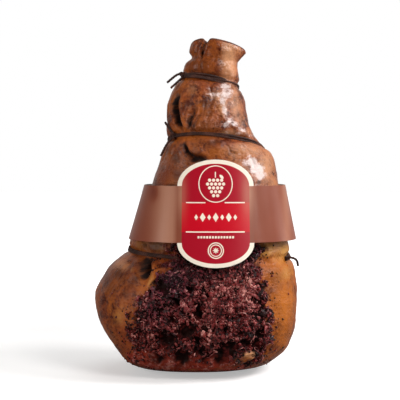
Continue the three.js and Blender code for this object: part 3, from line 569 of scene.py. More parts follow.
class Tree:
    """A node tree that is filled from code: a material's, the world's or a geometry modifier's."""

    def __init__(self, tree):
        self.tree = tree
        self.links = tree.links

    def add(self, kind, inputs=None, **settings):
        """A new node. Its settings come first, because they decide which inputs it has."""
        node = self.tree.nodes.new(kind)
        for key, value in settings.items():
            setattr(node, key, value)
        for key, value in (inputs or {}).items():
            self.feed(node.inputs[key], value)
        return node

    def feed(self, socket, value):
        """Links a socket or a node's first output to a socket, or sets the socket to a plain value."""
        if isinstance(value, bpy.types.NodeSocket):
            self.links.new(value, socket)
        elif isinstance(value, bpy.types.Node):
            self.links.new(value.outputs[0], socket)
        else:
            socket.default_value = value

    def dress(self, inputs):
        """Feeds several inputs of the material's shader."""
        for key, value in inputs.items():
            self.feed(self.shader.inputs[key], value)

    def math(self, operation, *values):
        return self.add("ShaderNodeMath", dict(enumerate(values)), operation=operation).outputs[0]

    def times(self, a, b):
        return self.math("MULTIPLY", a, b)

    def scaled(self, value, by, plus):
        return self.math("MULTIPLY_ADD", value, by, plus)

    def vector(self, operation, *values):
        return self.add("ShaderNodeVectorMath", dict(enumerate(values)), operation=operation).outputs[0]

    def stretched(self, vector, by):
        return self.add("ShaderNodeVectorMath", {0: vector, "Scale": by}, operation="SCALE").outputs[0]

    def object_coordinates(self, stretch=(1, 1, 1)):
        where = self.add("ShaderNodeTexCoord").outputs["Object"]
        return self.add("ShaderNodeMapping", {"Vector": where, "Scale": stretch}).outputs[0]

    def speckle(self, at, size_mm, detail, roughness=0.55):
        """Noise from 0 to 1 with features of a size in millimetres."""
        scale = 1 / (size_mm * MM)
        inputs = {"Vector": at, "Scale": scale, "Detail": float(detail), "Roughness": roughness}
        return self.add("ShaderNodeTexNoise", inputs).outputs["Fac"]

    def attribute(self, name):
        return self.add("ShaderNodeAttribute", attribute_name=name, attribute_type="GEOMETRY").outputs["Fac"]

    def between(self, value, low, high, to_low=0.0, to_high=1.0):
        """A value's way from low to high, as a number from to_low to to_high."""
        inputs = {"Value": value, "From Min": low, "From Max": high, "To Min": to_low, "To Max": to_high}
        return self.add("ShaderNodeMapRange", inputs).outputs[0]

    def blend(self, share, a, b):
        """Colour a turning into colour b as share goes from 0 to 1."""
        node = self.add("ShaderNodeMix", data_type="RGBA")
        self.feed(node.inputs["Factor"], share)
        for index, color in ((6, a), (7, b)):
            self.feed(node.inputs[index], color if isinstance(color, bpy.types.NodeSocket) else tuple(color))
        return node.outputs[2]

    def bumped(self, height, distance_mm, strength, under=None):
        """The normal of a bumpy surface, on top of another bumpy normal if one is given."""
        node = self.add("ShaderNodeBump", {"Height": height, "Distance": distance_mm * MM, "Strength": strength})
        if under is not None:
            self.feed(node.inputs["Normal"], under)
        return node.outputs["Normal"]

    def pushed(self, geometry, by, scale, detail, pattern=None):
        """Geometry whose points are pushed about by noise. A pattern number picks another noise."""
        inputs = {"Vector": self.add("GeometryNodeInputPosition"), "Scale": scale, "Detail": detail}
        if pattern is not None:
            inputs["W"] = pattern
        push = self.add("ShaderNodeTexNoise", inputs, noise_dimensions="3D" if pattern is None else "4D")
        away = self.vector("SUBTRACT", push.outputs["Color"], (0.5, 0.5, 0.5))
        return self.add("GeometryNodeSetPosition", {"Geometry": geometry, "Offset": self.stretched(away, by)})

    def scattered(self, pieces, kinds, where, spacing, rise, tumble, sizes, later):
        """Instances of some pieces on the start's mesh, where an attribute says so, turned and sized at random."""
        given = self.start.outputs
        share = self.add("GeometryNodeInputNamedAttribute", {"Name": where}, data_type="FLOAT")
        spots = self.add("GeometryNodeDistributePointsOnFaces", {
            "Mesh": given["Geometry"], "Distance Min": spacing, "Density Max": given["Density"],
            "Density Factor": share.outputs["Attribute"], "Seed": given["Seed"]}, distribute_method="POISSON")
        seated = self.add("GeometryNodeSetPosition", {
            "Geometry": spots.outputs["Points"], "Offset": self.stretched(spots.outputs["Normal"], rise)})
        tilt = self.add("FunctionNodeRandomValue", {
            0: (-tumble, -tumble, -3.14), 1: (tumble, tumble, 3.14), "Seed": given["Seed"]}, data_type="FLOAT_VECTOR")
        turned = self.add("FunctionNodeRotateRotation", {
            "Rotation": spots.outputs["Rotation"],
            "Rotate By": self.add("FunctionNodeEulerToRotation", {0: tilt.outputs[0]})}, rotation_space="LOCAL")
        size = self.add("FunctionNodeRandomValue", {2: sizes[0], 3: sizes[1], "Seed": later})
        pick = self.add("FunctionNodeRandomValue", {4: 0, 5: kinds - 1, "Seed": later}, data_type="INT")
        return self.add("GeometryNodeInstanceOnPoints", {
            "Points": seated, "Instance": pieces, "Pick Instance": True, "Instance Index": pick.outputs[2],
            "Rotation": turned, "Scale": size.outputs[1]})

    def tinted(self, instances, tint):
        inputs = {"Geometry": instances, "Name": "tint", "Value": tint}
        return self.add("GeometryNodeStoreNamedAttribute", inputs, data_type="FLOAT", domain="INSTANCE")


def geometry_tree(name, sockets):
    """A new geometry tree with a mesh socket and named inputs, given as name: (socket type, default)."""
    group = bpy.data.node_groups.new(name, "GeometryNodeTree")
    group.interface.new_socket("Geometry", in_out="INPUT", socket_type="NodeSocketGeometry")
    group.interface.new_socket("Geometry", in_out="OUTPUT", socket_type="NodeSocketGeometry")
    for label, (kind, default) in sockets.items():
        socket = group.interface.new_socket(label, in_out="INPUT", socket_type=kind)
        if default is not None:
            socket.default_value = default
    tree = Tree(group)
    tree.start = tree.add("NodeGroupInput")
    return tree


def finish_geometry(tree, geometry):
    """Realizes the instances, sets the material and ends the tree."""
    real = tree.add("GeometryNodeRealizeInstances", {0: geometry})
    smooth = tree.add("GeometryNodeSetShadeSmooth", {"Geometry": real})
    dressed = tree.add("GeometryNodeSetMaterial", {"Geometry": smooth, "Material": tree.start.outputs["Material"]})
    tree.add("NodeGroupOutput", {0: dressed})


def grown_mesh(name, item, tree, values):
    """Runs a geometry tree on an object with the given inputs and returns the plain mesh that it grows."""
    modifier = item.modifiers.new(name, "NODES")
    modifier.node_group = tree.tree
    by_name = {s.name: s.identifier for s in tree.tree.interface.items_tree if s.in_out == "INPUT"}
    for label, value in values.items():
        modifier[by_name[label]] = value
    item.update_tag()
    depsgraph = bpy.context.evaluated_depsgraph_get()
    mesh = bpy.data.meshes.new_from_object(item.evaluated_get(depsgraph), depsgraph=depsgraph)
    item.modifiers.remove(modifier)
    mesh.name = name
    if len(mesh.polygons) == 0:
        raise RuntimeError(f"{name}: the geometry tree grew nothing")
    return add_object(name, mesh)


# Materials

def cleared_tree(owner):
    """The emptied node tree of a material or a world."""
    owner.use_nodes = True
    owner.node_tree.nodes.clear()
    return Tree(owner.node_tree)


def new_material(name):
    material = bpy.data.materials.new(name)
    tree = cleared_tree(material)
    tree.shader = tree.add("ShaderNodeBsdfPrincipled")
    tree.add("ShaderNodeOutputMaterial", {"Surface": tree.shader.outputs["BSDF"]})
    return material, tree


def linear(hexadecimal):
    """A colour written as six hexadecimal digits, in linear light and opaque."""
    parts = [int(hexadecimal[k:k + 2], 16) / 255 for k in (0, 2, 4)]
    return tuple(c / 12.92 if c <= 0.04045 else ((c + 0.055) / 1.055) ** 2.4 for c in parts) + (1.0,)


# The ham in its rind

def crust_over(base):
    """How far the crust covers each point, how deep it is inside its outline, where fat shows, and its low strip."""
    ragged = 8.5 * noise_at(base, 19, 2) + 5.5 * noise_at(base + 20, 7, 2)
    depth = marc_depth(base[:, 0], base[:, 2]) + ragged + 0.5
    torn = 0.85 + 1.3 * noise_at(base + 250, 4, 2)
    fat = np.clip(1.8 * patches(base, "fat") * torn - 0.3, 0, 1)
    crust = np.clip(depth / 4 + 0.5, 0, 1) * np.clip(-base[:, 1] / 8, 0, 1) * (1 - fat)
    low_top = 32 - 0.17 * base[:, 0] + 9 * noise_at(base + 150, 12, 2)
    low = crust * np.clip((low_top - base[:, 2]) / 14, 0, 1)
    return crust, depth, fat, low


def crust_bed(base, low):
    """The crust's bed: its height in clods, its gaps, how far it is filled with marc, and its small holes."""
    clumps = clods_at(base + 7 * noise_at(base + 400, 12, 1)[:, None], 14)
    clods = clods_at(base, 7.5)
    small_clods = clods_at(base + 90, 3.8)
    voids = np.clip(patches(base, "void") * (1.3 + 1.1 * noise_at(base + 60, 6, 2)), 0, 1)
    height = 2.8 * np.clip(clumps, -0.3, 1) + 1.4 * clods + 0.5 * small_clods - 6.5 * voids
    crevice = np.clip(0.5 - 2.2 * clumps, 0, 1)
    gap = np.clip(0.75 - 0.9 * clods - 0.35 * small_clods + crevice, 0, 1)
    filled = np.clip(1.25 - 3.0 * voids, 0, 1) * (1 - 0.75 * crevice)
    return height * (1 - 0.6 * low), gap, filled, voids


def rind_relief(values, base, angle, level, calm, clear):
    """The bare rind's soft lumps, puckers, pleats beside the ties, creases, lips and ridges, outwards."""
    soft = 0.8 * noise_at(base, 30, 2) + 0.45 * noise_at(base + 50, 11, 2) + 0.22 * noise_at(base + 80, 4.5, 2)
    extra = values.lumps * soft * calm
    puckers = noise_at(base * np.array([0.45, 0.45, 1.0]) + 300, 5.0, 2, ridged=True)
    upper = np.clip((base[:, 2] - 205) / 30, 0, 1)
    extra -= 0.45 * values.pleats * np.clip(puckers, 0, 1) ** 2 * upper * calm
    where = np.clip(0.1 + 1.3 * noise_at(base + 200, 24, 1), 0, 1)
    wander = 2.0 * noise_at(base + 300, 18, 1)
    pleats = np.zeros(len(base))
    for tie in TIES.values():
        away = np.abs(level - tie["height"])
        turns = 23 * angle + 2.6 * np.sin(3 * angle) + tie["height"] / 9 + wander
        fan = bell((away - 4) / 5) * (1 - bell(away / 5))
        pleats -= 0.6 * np.maximum(0, np.cos(turns)) ** 2 * fan * where
    extra += values.pleats * pleats * calm
    creased = fold_depth(base + 1.5 * noise_at(base + 800, 7, 2)[:, None], CREASE_PATHS)
    return extra + ((0.6 * fold_lips(base, PATHS) - creased) * clear + fold_depth(base, RIDGE_PATHS))


def cuff_rows(ring, angles):
    """The rows from the skin's last ring over the cuff's edge to the bottom of its dish."""
    mid = np.array([section(z)[:2] for z in ring[:, 2]])
    outwards = np.stack([np.cos(angles), np.sin(angles)], axis=1)
    rows = []
    for inward, drop, closing in CUFF_EDGE:
        row = ring.copy()
        row[:, :2] -= inward * outwards
        row[:, :2] = mid + (row[:, :2] - mid) * closing
        row[:, 2] += RIM["round"] - drop
        rows.append(row)
    return rows


def build_skin(values):
    """The dressed skin from the floor to the bottom of the cuff's dish, with what its material reads at its points."""
    turn = np.arange(COLUMNS) * 2 * np.pi / COLUMNS
    angles = turn - np.pi / 2 - 0.5 * np.sin(turn)
    levels = np.linspace(0, 1, BODY_ROWS)
    levels = (HEIGHT - RIM["round"]) * levels * (0.55 + 0.45 * np.minimum(1, levels / 0.12))
    angle, level = [a.ravel() for a in np.broadcast_arrays(angles[None, :], levels[:, None])]
    base = smooth_point(angle, level)
    clear = 1 - near_ties(level)

    crust, depth, fat, low = crust_over(base)
    bed_height, gap, filled, voids = crust_bed(base, low)
    calm = (1 - 0.7 * crust) * (1 - 0.8 * patches(base, "frost"))
    extra = rind_relief(values, base, angle, level, calm, clear)
    at_twine = np.max([bell((level - tie["height"]) / 2.2) for tie in TIES.values()], axis=0)
    swerve = 1.6 * np.stack([noise_at(base + 600, 6, 2), 0 * level, noise_at(base + 700, 6, 2)], axis=1)
    slots = fold_depth(base + swerve, SLOT_PATHS) * (1 - at_twine)
    extra -= slots
    extra += crust * values.marc_relief * bed_height * (0.35 + 0.65 * clear)
    extra += 4.0 * fat * np.clip((base[:, 2] - 14) / 8, 0, 1)
    # Painted shade in the folds, slots and the cuff's dish: how dark each point is painted.
    hollow = np.clip(fold_depth(base + swerve, PATHS) / 3.6 * clear + slots / 3.2, 0, 1.4)
    hollow = np.clip(hollow * (0.85 + 0.7 * noise_at(base + 40, 3.2, 2)) * 1.5 - 0.4, 0, 1)

    points = ham_point(angle, level, extra * np.clip(level / 12, 0, 1))
    points[:, 2] = np.maximum(points[:, 2], 0)
    cuff = cuff_rows(points[-COLUMNS:], angles)
    floor = [np.column_stack([points[:COLUMNS, :2] * share, np.zeros(COLUMNS)]) for share in UNDERSIDE_RINGS]
    grid = np.vstack(floor + [points] + cuff)
    rows = len(floor) + BODY_ROWS + len(cuff)
    faces = grid_faces(rows, COLUMNS, closed=True)
    bottom, top, last = len(grid), len(grid) + 1, (rows - 1) * COLUMNS
    for c in range(COLUMNS):
        n = (c + 1) % COLUMNS
        faces += [(bottom, n, c), (top, last + c, last + n)]
    skin = mesh_object("ham_skin", np.vstack([grid, [[0, 0, 0], cuff[-1].mean(axis=0)]]), faces)

    painted = {name: patches(base, name) for name in ("greasy", "frost", "tan", "gold", "violet", "maroon", "pale")}
    painted.update({
        "crust": crust, "gap": gap * (crust - low), "low": low, "void": voids, "hollow": hollow,
        "amber": patches(base, "amber") * (1 - crust), "dusky": patches(base, "dusky"),
        "bed": crust_density(points, crust) * filled * (1 - 0.8 * low), "stray": stray_density(points, depth),
    })
    # Painted shade off the body: full painted shade on the underside, and fold shade at 0.6 in the cuff's dish.
    ends = {"hollow": (0, 0.6), "dusky": (1, 0)}
    for name, on_body in painted.items():
        under, inside = ends.get(name, (0, 0))
        below, above = np.full(len(floor) * COLUMNS, float(under)), np.full(len(cuff) * COLUMNS + 2, float(inside))
        set_attribute(skin.data, name, np.concatenate([below, on_body, above]))
    return skin


def under_label(points, margin):
    """Whether front points lie behind the label face or within a margin of it."""
    x, z = points[:, 0], points[:, 2]
    beside = (x - SLEEVE["label_x"]) / (SLEEVE["label_half"] + margin)
    lobe = np.sqrt(np.maximum(0, 1 - beside**2))
    bottom = SLEEVE["low_z"] - SLEEVE["lobe_down"] * lobe - margin
    return (z > bottom) & (points[:, 1] < 0)


def crust_density(points, crust):
    """Where grape skins may stick: on the crust, clear of the sleeve and of the twine that lies on it."""
    at_twine = (np.abs(points[:, 2] - 124) < 7) & (points[:, 0] < -42)
    open_air = ~under_label(points, 2.5) & ~at_twine
    return crust**2 * open_air * np.clip((points[:, 2] - 13) / 18, 0, 1)


def stray_density(points, depth):
    """Where single crumbs strayed: most at the crust's edge and fewer further out."""
    clusters = np.clip(0.4 + 1.3 * noise_at(points + 500, 9, 2), 0, 1)
    outside = np.minimum(depth, 0)
    near = (bell(outside / 7) * (depth < 3) + 0.1 * bell(outside / 22)) * clusters
    near *= 1 + bell((points[:, 0] - 62) / 14) * bell((points[:, 2] - 118) / 16)
    low = (points[:, 2] > 10) & (points[:, 2] < 138) & (points[:, 1] < -14)
    return near * low * ~under_label(points, 2.5)


def marc_color(tree, values, share):
    """The crust's colour from dark through middle to pale, by zones over the front; its palest pink is partly painted
    glints.
    """
    mid = tree.blend(tree.attribute("violet"), values.marc_mid, values.marc_violet)
    mid = tree.blend(tree.attribute("maroon"), mid, values.marc_maroon)
    clumps = tree.speckle(tree.object_coordinates(), 9.0, 3, 0.6)
    light = tree.scaled(clumps, 2.0, tree.math("SUBTRACT", share, 0.96))
    light = tree.scaled(tree.attribute("pale"), 0.38, light)
    light = tree.scaled(tree.attribute("violet"), -0.15, light)
    color = tree.blend(tree.between(light, 0.2, 0.65), values.marc_dark, mid)
    return tree.blend(tree.between(light, 0.8, 1.2), color, values.marc_pink)


def rind_material(values):
    """The cured rind and, where the crust lies on it, the crust's bed."""
    material, tree = new_material("rind_cured")
    at = tree.object_coordinates()
    broad = tree.speckle(at, 38, 3)
    middle = tree.speckle(at, 12, 5, 0.68)
    fine = tree.speckle(at, 2.8, 4, 0.7)
    names = ("tan", "dusky", "frost", "hollow", "low", "crust", "greasy")
    tan, dusky, frost, hollow, low, crust, greasy = (tree.attribute(name) for name in names)

    blotches = tree.scaled(fine, 0.35, middle)
    color = tree.blend(tree.between(blotches, 0.56, 0.78), values.rind_deep, values.rind_mid)
    color = tree.blend(tree.between(tree.scaled(fine, 0.6, broad), 0.72, 0.95, 0, 0.8), color, values.rind_warm)
    # The tan layer is partly painted light on the side that faces the lamps and on the fat lump.
    for patch, broken, first, full, most, name in RIND_LAYERS:
        share = tree.between(tree.scaled(blotches, broken, tree.attribute(patch)), first, full, 0, most)
        color = tree.blend(share, color, getattr(values, name))
    # Smoked patches and painted shade.
    color = tree.blend(tree.between(tree.scaled(fine, 0.6, dusky), 0.35, 1.2, 0, 0.75), color, values.rind_dark_and_painted_shade)
    crumbs = tree.add("ShaderNodeTexVoronoi", {"Vector": at, "Scale": 150.0}).outputs["Distance"]
    reach = tree.scaled(tan, -0.2, tree.between(tree.speckle(at, 22, 2), 0.5, 0.66, -0.05, 0.2))
    specks = tree.between(tree.math("SUBTRACT", tree.scaled(fine, 0.2, reach), crumbs), 0.08, 0.16)
    color = tree.blend(tree.times(specks, 0.85), color, values.rind_dark_and_painted_shade)
    # Painted highlights: whitish patches that stand for the lamps' reflections on the shoulder and the neck's ridge,
    # with some pale grease.
    highlight_share = tree.scaled(fine, 0.7, tree.scaled(middle, 0.8, frost))
    highlight_share = tree.times(tree.between(highlight_share, 1.15, 1.4), tree.between(frost, 0.05, 0.4))
    color = tree.blend(tree.times(highlight_share, 0.85), color, values.rind_grease_and_painted_highlight)
    # Painted shade deep in the folds.
    color = tree.blend(hollow, color, linear(FOLD_SHADE_COLOR))

    bed = marc_color(tree, values, tree.scaled(fine, 1.3, tree.scaled(low, 0.45, -0.3)))
    # Partly painted light: the low strip is lighter than the wet skin's own red-brown, standing for light reflected up
    # under the ham.
    streaks = tree.speckle(tree.object_coordinates((0.5, 0.5, 1.4)), 3.4, 5, 0.75)
    bed = tree.blend(tree.times(low, tree.between(streaks, 0.4, 0.62, 0.2, 1.0)), bed, values.marc_glaze)
    # Smoked patches and painted shade over the crust's bed too.
    bed = tree.blend(tree.times(dusky, 0.55), bed, values.rind_dark_and_painted_shade)
    # Painted shade in the crust's gaps between clods and in its small holes.
    crevice_shade = tree.math("MAXIMUM", tree.between(tree.attribute("gap"), 0.1, 0.6), tree.attribute("void"))
    bed = tree.blend(crevice_shade, bed, linear(CREVICE_SHADE_COLOR))

    rough = tree.scaled(greasy, -0.1, tree.scaled(blotches, 0.34, 0.08))
    rough = tree.scaled(tree.math("SUBTRACT", crust, low), 0.15, rough)
    height = tree.add("ShaderNodeSeparateXYZ", {0: at}).outputs["Z"]
    firm = tree.scaled(frost, -0.35, tree.between(height, 0.305, 0.32, 0.75, 0.35))
    lying = tree.speckle(tree.object_coordinates((0.55, 0.55, 1.2)), 6.0, 5, 0.65)
    normal = tree.bumped(tree.speckle(at, 1.7, 3, 0.6), 0.5, firm, tree.bumped(lying, 2.2, firm))
    open_skin = tree.math("SUBTRACT", 1.0, tree.math("MAXIMUM", crust, hollow))
    sheen = tree.scaled(greasy, 0.8, tree.between(height, 0.13, 0.24, 0.03, 0.12))
    tree.dress({
        "Base Color": tree.blend(crust, color, bed), "Roughness": tree.scaled(hollow, 0.35, rough),
        "Normal": normal, "Coat Normal": normal, "Coat Weight": tree.times(open_skin, sheen), "Coat Roughness": 0.22,
        "Specular IOR Level": tree.scaled(crust, -0.1, tree.between(height, 0.13, 0.2, 0.16, 0.2)),
    })
    return material


def marc_material(values):
    """Wet grape marc, darker or paler by each piece's tint; the peaks of fine noise and the palest tints turn pale
    pink as painted glints.
    """
    material, tree = new_material("grape_marc")
    at = tree.object_coordinates()
    fine = tree.speckle(at, 2.0, 5, 0.8)
    share = tree.scaled(tree.math("SUBTRACT", fine, 0.5), 2.2, tree.attribute("tint"))
    normal = tree.bumped(tree.speckle(at, 1.1, 4, 0.65), 0.9, 0.8)
    tree.dress({
        "Base Color": marc_color(tree, values, share), "Roughness": tree.scaled(fine, 0.4, 0.12), "Normal": normal,
        "Coat Normal": normal, "Specular IOR Level": 0.2, "Coat Weight": 0.25, "Coat Roughness": 0.07,
    })
    return material


# Crust of grape marc

def crumpled_skins(tree, count, size, slim, flat, fineness):
    """Instances of a few small crumpled lumps to pick from."""
    joined = tree.add("GeometryNodeGeometryToInstance")
    for k in range(count):
        ball = tree.add("GeometryNodeMeshIcoSphere", {"Radius": size, "Subdivisions": fineness})
        push, scale = tree.times(size, 2.2), tree.math("DIVIDE", 0.9, size)
        dented = tree.pushed(ball.outputs["Mesh"], push, scale, 1.5, 3.7 * k)
        shaped = tree.add("GeometryNodeTransform", {"Geometry": dented, "Scale": (1.0, slim + 0.08 * k, flat)})
        tree.links.new(shaped.outputs[0], joined.inputs[0])
    return joined


def marc_tree(name, kinds, slim, flat, crumple, tumble, fineness):
    """Lumps of marc scattered over a skin where one of its attributes says so."""
    number = "NodeSocketFloat"
    tree = geometry_tree(name, {
        "Piece Size": (number, 0.003), "Spacing": (number, 0.003), "Density": (number, 60000.0),
        "Where": ("NodeSocketString", "bed"), "Lift": (number, 0.0), "Smallest": (number, 0.6),
        "Largest": (number, 1.3), "Darkest": (number, 0.0), "Lightest": (number, 1.0), "Seed": ("NodeSocketInt", 1),
        "Material": ("NodeSocketMaterial", None),
    })
    given = tree.start.outputs
    lumps_to_pick = crumpled_skins(tree, kinds, given["Piece Size"], slim, flat, fineness)
    placed = tree.scattered(
        lumps_to_pick, kinds, given["Where"], given["Spacing"], given["Lift"], tumble,
        (given["Smallest"], given["Largest"]), tree.math("ADD", given["Seed"], 7.0))
    shade = tree.add("FunctionNodeRandomValue", {
        2: given["Darkest"], 3: given["Lightest"], "Seed": tree.math("ADD", given["Seed"], 13.0)})
    real = tree.add("GeometryNodeRealizeInstances", {0: tree.tinted(placed, shade.outputs[1])})
    finish_geometry(tree, tree.pushed(real, crumple, 330.0, 1.0))
    return tree


def thread_tree():
    """Curled fibres of stalk scattered over a skin."""
    tree = geometry_tree("Marc threads", {
        "Thread Length": ("NodeSocketFloat", 0.009), "Thread Radius": ("NodeSocketFloat", 0.00025),
        "Density": ("NodeSocketFloat", 20000.0), "Seed": ("NodeSocketInt", 1),
        "Material": ("NodeSocketMaterial", None),
    })
    given = tree.start.outputs
    arcs, kinds = tree.add("GeometryNodeGeometryToInstance"), 4
    for k in range(kinds):
        arc = tree.add("GeometryNodeCurveArc", {
            "Resolution": 9, "Radius": tree.times(given["Thread Length"], 0.3 + 0.08 * k), "Start Angle": 0.4 * k,
            "Sweep Angle": 2.0 + 0.7 * k})
        bent = tree.pushed(arc.outputs["Curve"], 0.006, 150.0, 0.0, 5.1 * k)
        ring = tree.add("GeometryNodeCurvePrimitiveCircle", {"Resolution": 3, "Radius": given["Thread Radius"]})
        tube = tree.add("GeometryNodeCurveToMesh", {"Curve": bent, "Profile Curve": ring, "Fill Caps": True})
        tree.links.new(tube.outputs[0], arcs.inputs[0])
    placed = tree.scattered(arcs, kinds, "bed", 0.0035, 0.0016, 0.5, (0.6, 1.3), given["Seed"])
    finish_geometry(tree, tree.tinted(placed, 0.85))
    return tree


def build_marc(skin, values, material):
    """Grows the crust's pieces on the skin. Each row ends with what is added to the seed."""
    trees = {name: marc_tree("Marc " + name, *shape) for name, shape in MARC_SHAPES.items()}
    labels = ("Piece Size", "Spacing", "Density", "Where", "Lift", "Smallest", "Largest", "Darkest", "Lightest")
    rows = [
        ("marc_skins", "skins", values.skin_size, values.skin_spacing, 450000.0, "bed", 0.0009, 0.45, 1.3, 0.1, 0.75,
         0),
        ("marc_husks", "husks", 0.003, 0.0062, 60000.0, "bed", 0.0006, 0.6, 1.3, -0.1, 0.85, 21),
        ("marc_crumbs", "crumbs", values.crumb_size, 0.0015, 900000.0, "bed", 0.0006, 0.5, 1.4, -0.3, 0.75, 3),
        # Painted glints: small flecks tinted pale pink stand for the lamps' glints on the wet marc.
        ("marc_flecks", "flecks", 0.0013, 0.0034, 90000.0, "bed", 0.0002, 0.4, 1.4, 0.8, 1.7, 5),
        ("marc_strays", "crumbs", 0.0011, 0.0018, 260000.0, "stray", 0.0, 0.35, 1.7, -0.4, 0.6, 9),
    ]
    pieces = []
    for name, shape, *given, later in rows:
        inputs = {**dict(zip(labels, given)), "Seed": values.seed + later, "Material": material}
        pieces.append(grown_mesh(name, skin, trees[shape], inputs))
    pieces.append(grown_mesh("marc_threads", skin, thread_tree(), {
        "Thread Length": 0.007, "Thread Radius": 0.0003, "Density": 16000.0, "Seed": values.seed + 4,
        "Material": material}))
    for piece in pieces:
        place(piece, slot="rind")


# Twine

def tie_place(tie, angles):
    """Where a tie's twine lies on the skin: its middle, the way out from the skin and the way up along it."""
    angles = np.atleast_1d(np.asarray(angles, float))
    up = ham_point(angles, tie["height"] + 3.0) - ham_point(angles, tie["height"] - 3.0)
    up /= np.linalg.norm(up, axis=1, keepdims=True)
    radial = np.stack([np.cos(angles), np.sin(angles), 0 * angles], axis=1)
    out = radial - up * (radial * up).sum(axis=1, keepdims=True)
    out /= np.linalg.norm(out, axis=1, keepdims=True)
    return ham_point(angles, tie["height"]) + out * (TWINE_RADIUS + GAP), out, up


def strand(tie, angles, number, packing, weave=0.0):
    """One strand of a tie. A little weave lets neighbouring strands cross over each other."""
    at, out, up = tie_place(tie, angles)
    step = 1.8 * TWINE_RADIUS * packing(angles)
    swing = weave * np.sin(2.0 * angles + 2.1 * number)
    rise = (number - (tie["strands"] - 1) / 2) * step
    away = (angles - math.radians(tie["buried_at"]) + np.pi) % (2 * np.pi) - np.pi
    buried = tie["buried"] * (0.55 if number == 1 else 1) * np.clip(1.6 * bell(away / 0.9), 0, 1)
    pressed = 0.35 * np.cos(3 * angles + 2 * number) - buried
    return at + out * (pressed - 0.45)[:, None] + up * (rise + swing)[:, None]


def knot_path(center, size, turn):
    """The closed line of a knot: a trefoil that faces the way it is turned."""
    t = np.arange(36) * 2 * np.pi / 36
    loop = np.stack([np.sin(t) + 2 * np.sin(2 * t), 0.9 * -np.sin(3 * t), np.cos(t) - 2 * np.cos(2 * t)], axis=1)
    c, s = math.cos(turn), math.sin(turn)
    return center + loop * size @ np.array([[c, s, 0], [-s, c, 0], [0, 0, 1]])


def twine_tree():
    """Twists plies round each polyline of a mesh."""
    tree = geometry_tree("Twisted twine", {
        "Twine Radius": ("NodeSocketFloat", 0.0013), "Plies": ("NodeSocketInt", 3),
        "Pitch": ("NodeSocketFloat", 0.009), "Step": ("NodeSocketFloat", 0.0012),
        "Material": ("NodeSocketMaterial", None),
    })
    given = tree.start.outputs
    line = tree.add("GeometryNodeMeshToCurve", {0: given["Geometry"]})
    even = tree.add("GeometryNodeResampleCurve", {"Curve": line, "Length": given["Step"]}, mode="LENGTH")
    plies = tree.add("GeometryNodeDuplicateElements", {"Geometry": even, "Amount": given["Plies"]}, domain="SPLINE")
    share = tree.math("DIVIDE", plies.outputs["Duplicate Index"], given["Plies"])
    along = tree.math("DIVIDE", tree.add("GeometryNodeSplineParameter").outputs["Length"], given["Pitch"])
    phase = tree.times(tree.math("ADD", share, along), 2 * math.pi)
    normal = tree.add("GeometryNodeInputNormal").outputs["Normal"]
    tangent = tree.add("GeometryNodeInputTangent").outputs[0]
    side = tree.vector("CROSS_PRODUCT", tangent, normal)
    away = tree.times(given["Twine Radius"], 0.5)
    x = tree.stretched(normal, tree.times(tree.math("COSINE", phase), away))
    y = tree.stretched(side, tree.times(tree.math("SINE", phase), away))
    spun = tree.add("GeometryNodeSetPosition", {"Geometry": plies, "Offset": tree.vector("ADD", x, y)})
    thick = tree.times(given["Twine Radius"], 0.56)
    ring = tree.add("GeometryNodeCurvePrimitiveCircle", {"Resolution": 6, "Radius": thick})
    tubes = tree.add("GeometryNodeCurveToMesh", {"Curve": spun, "Profile Curve": ring, "Fill Caps": True})
    finish_geometry(tree, tubes)
    return tree


def lay_lines(name, lines):
    """A mesh of polylines in millimetres: each line is (points, closed)."""
    vertices, edges = [], []
    for points, closed in lines:
        first = len(vertices)
        vertices.extend(np.asarray(points).tolist())
        edges.extend((first + k, first + k + 1) for k in range(len(points) - 1))
        if closed:
            edges.append((first + len(points) - 1, first))
    return mesh_object(name, vertices, [], edges)


def tie_lines():
    """The strands, knots and free ends of each tie, each as its points and whether it closes."""
    full = np.arange(240) * 2 * np.pi / 240
    packings = {
        "neck": lambda a: 0.72 + 0.28 * np.cos(a - math.radians(NECK_SPREAD_AT)), "shoulder": np.ones_like,
    }
    lines = {}
    for name, knot in KNOTS.items():
        tie, turn = TIES[name], math.radians(knot["turn"])
        (at,), (out,), _ = tie_place(tie, turn)
        parts = [(strand(tie, full, k, packings[name], knot["weave"]), True) for k in range(tie["strands"])]
        parts.append((knot_path(at + out * knot["out"], knot["size"], turn), True))
        for corners, (x, y, z) in knot["ends"]:
            tip = (x, y + at[1] * knot["tips_from_knot"], z)
            parts.append((spline(np.vstack([at + np.array(corners), tip]), 12), False))
        lines[name + "_tie"] = parts

    belly = TIES["belly"]
    angles = np.radians(np.linspace(*BELLY_SPAN, 220))
    (at,), _, _ = tie_place(belly, angles[0])
    hook = spline(at + BELLY_HOOK, 12)
    upper, lower = (strand(belly, angles, k, np.ones_like, 0.4) for k in (1, 0))
    lines["belly_tie"] = [(np.vstack([hook[::-1], upper[1:]]), False), (lower, False)]
    return lines


def twine_material(values):
    """Greased hemp, paler where it was rubbed."""
    material, tree = new_material("twine_hemp")
    at = tree.object_coordinates()
    fibres = tree.speckle(at, 0.8, 4, 0.7)
    color = tree.blend(tree.between(fibres, 0.3, 0.7), values.twine_dark, values.twine_light)
    color = tree.blend(tree.between(tree.speckle(at, 14, 2), 0.45, 0.7, 0, 0.6), color, values.twine_worn)
    tree.dress({
        "Base Color": color, "Roughness": tree.scaled(fibres, 0.3, 0.4), "Specular IOR Level": 0.3,
        "Normal": tree.bumped(fibres, 0.25, 0.8),
    })
    return material


def build_ties(values, material):
    tree = twine_tree()
    for name, lines in tie_lines().items():
        guide = lay_lines(name + "_guide", lines)
        piece = grown_mesh(name, guide, tree, {
            "Twine Radius": values.radius, "Plies": values.plies, "Pitch": values.pitch, "Step": 0.0012,
            "Material": material})
        bpy.data.objects.remove(guide)
        place(piece, name.replace("_tie", "_twine"), slot="twine")


# The card sleeve and its print

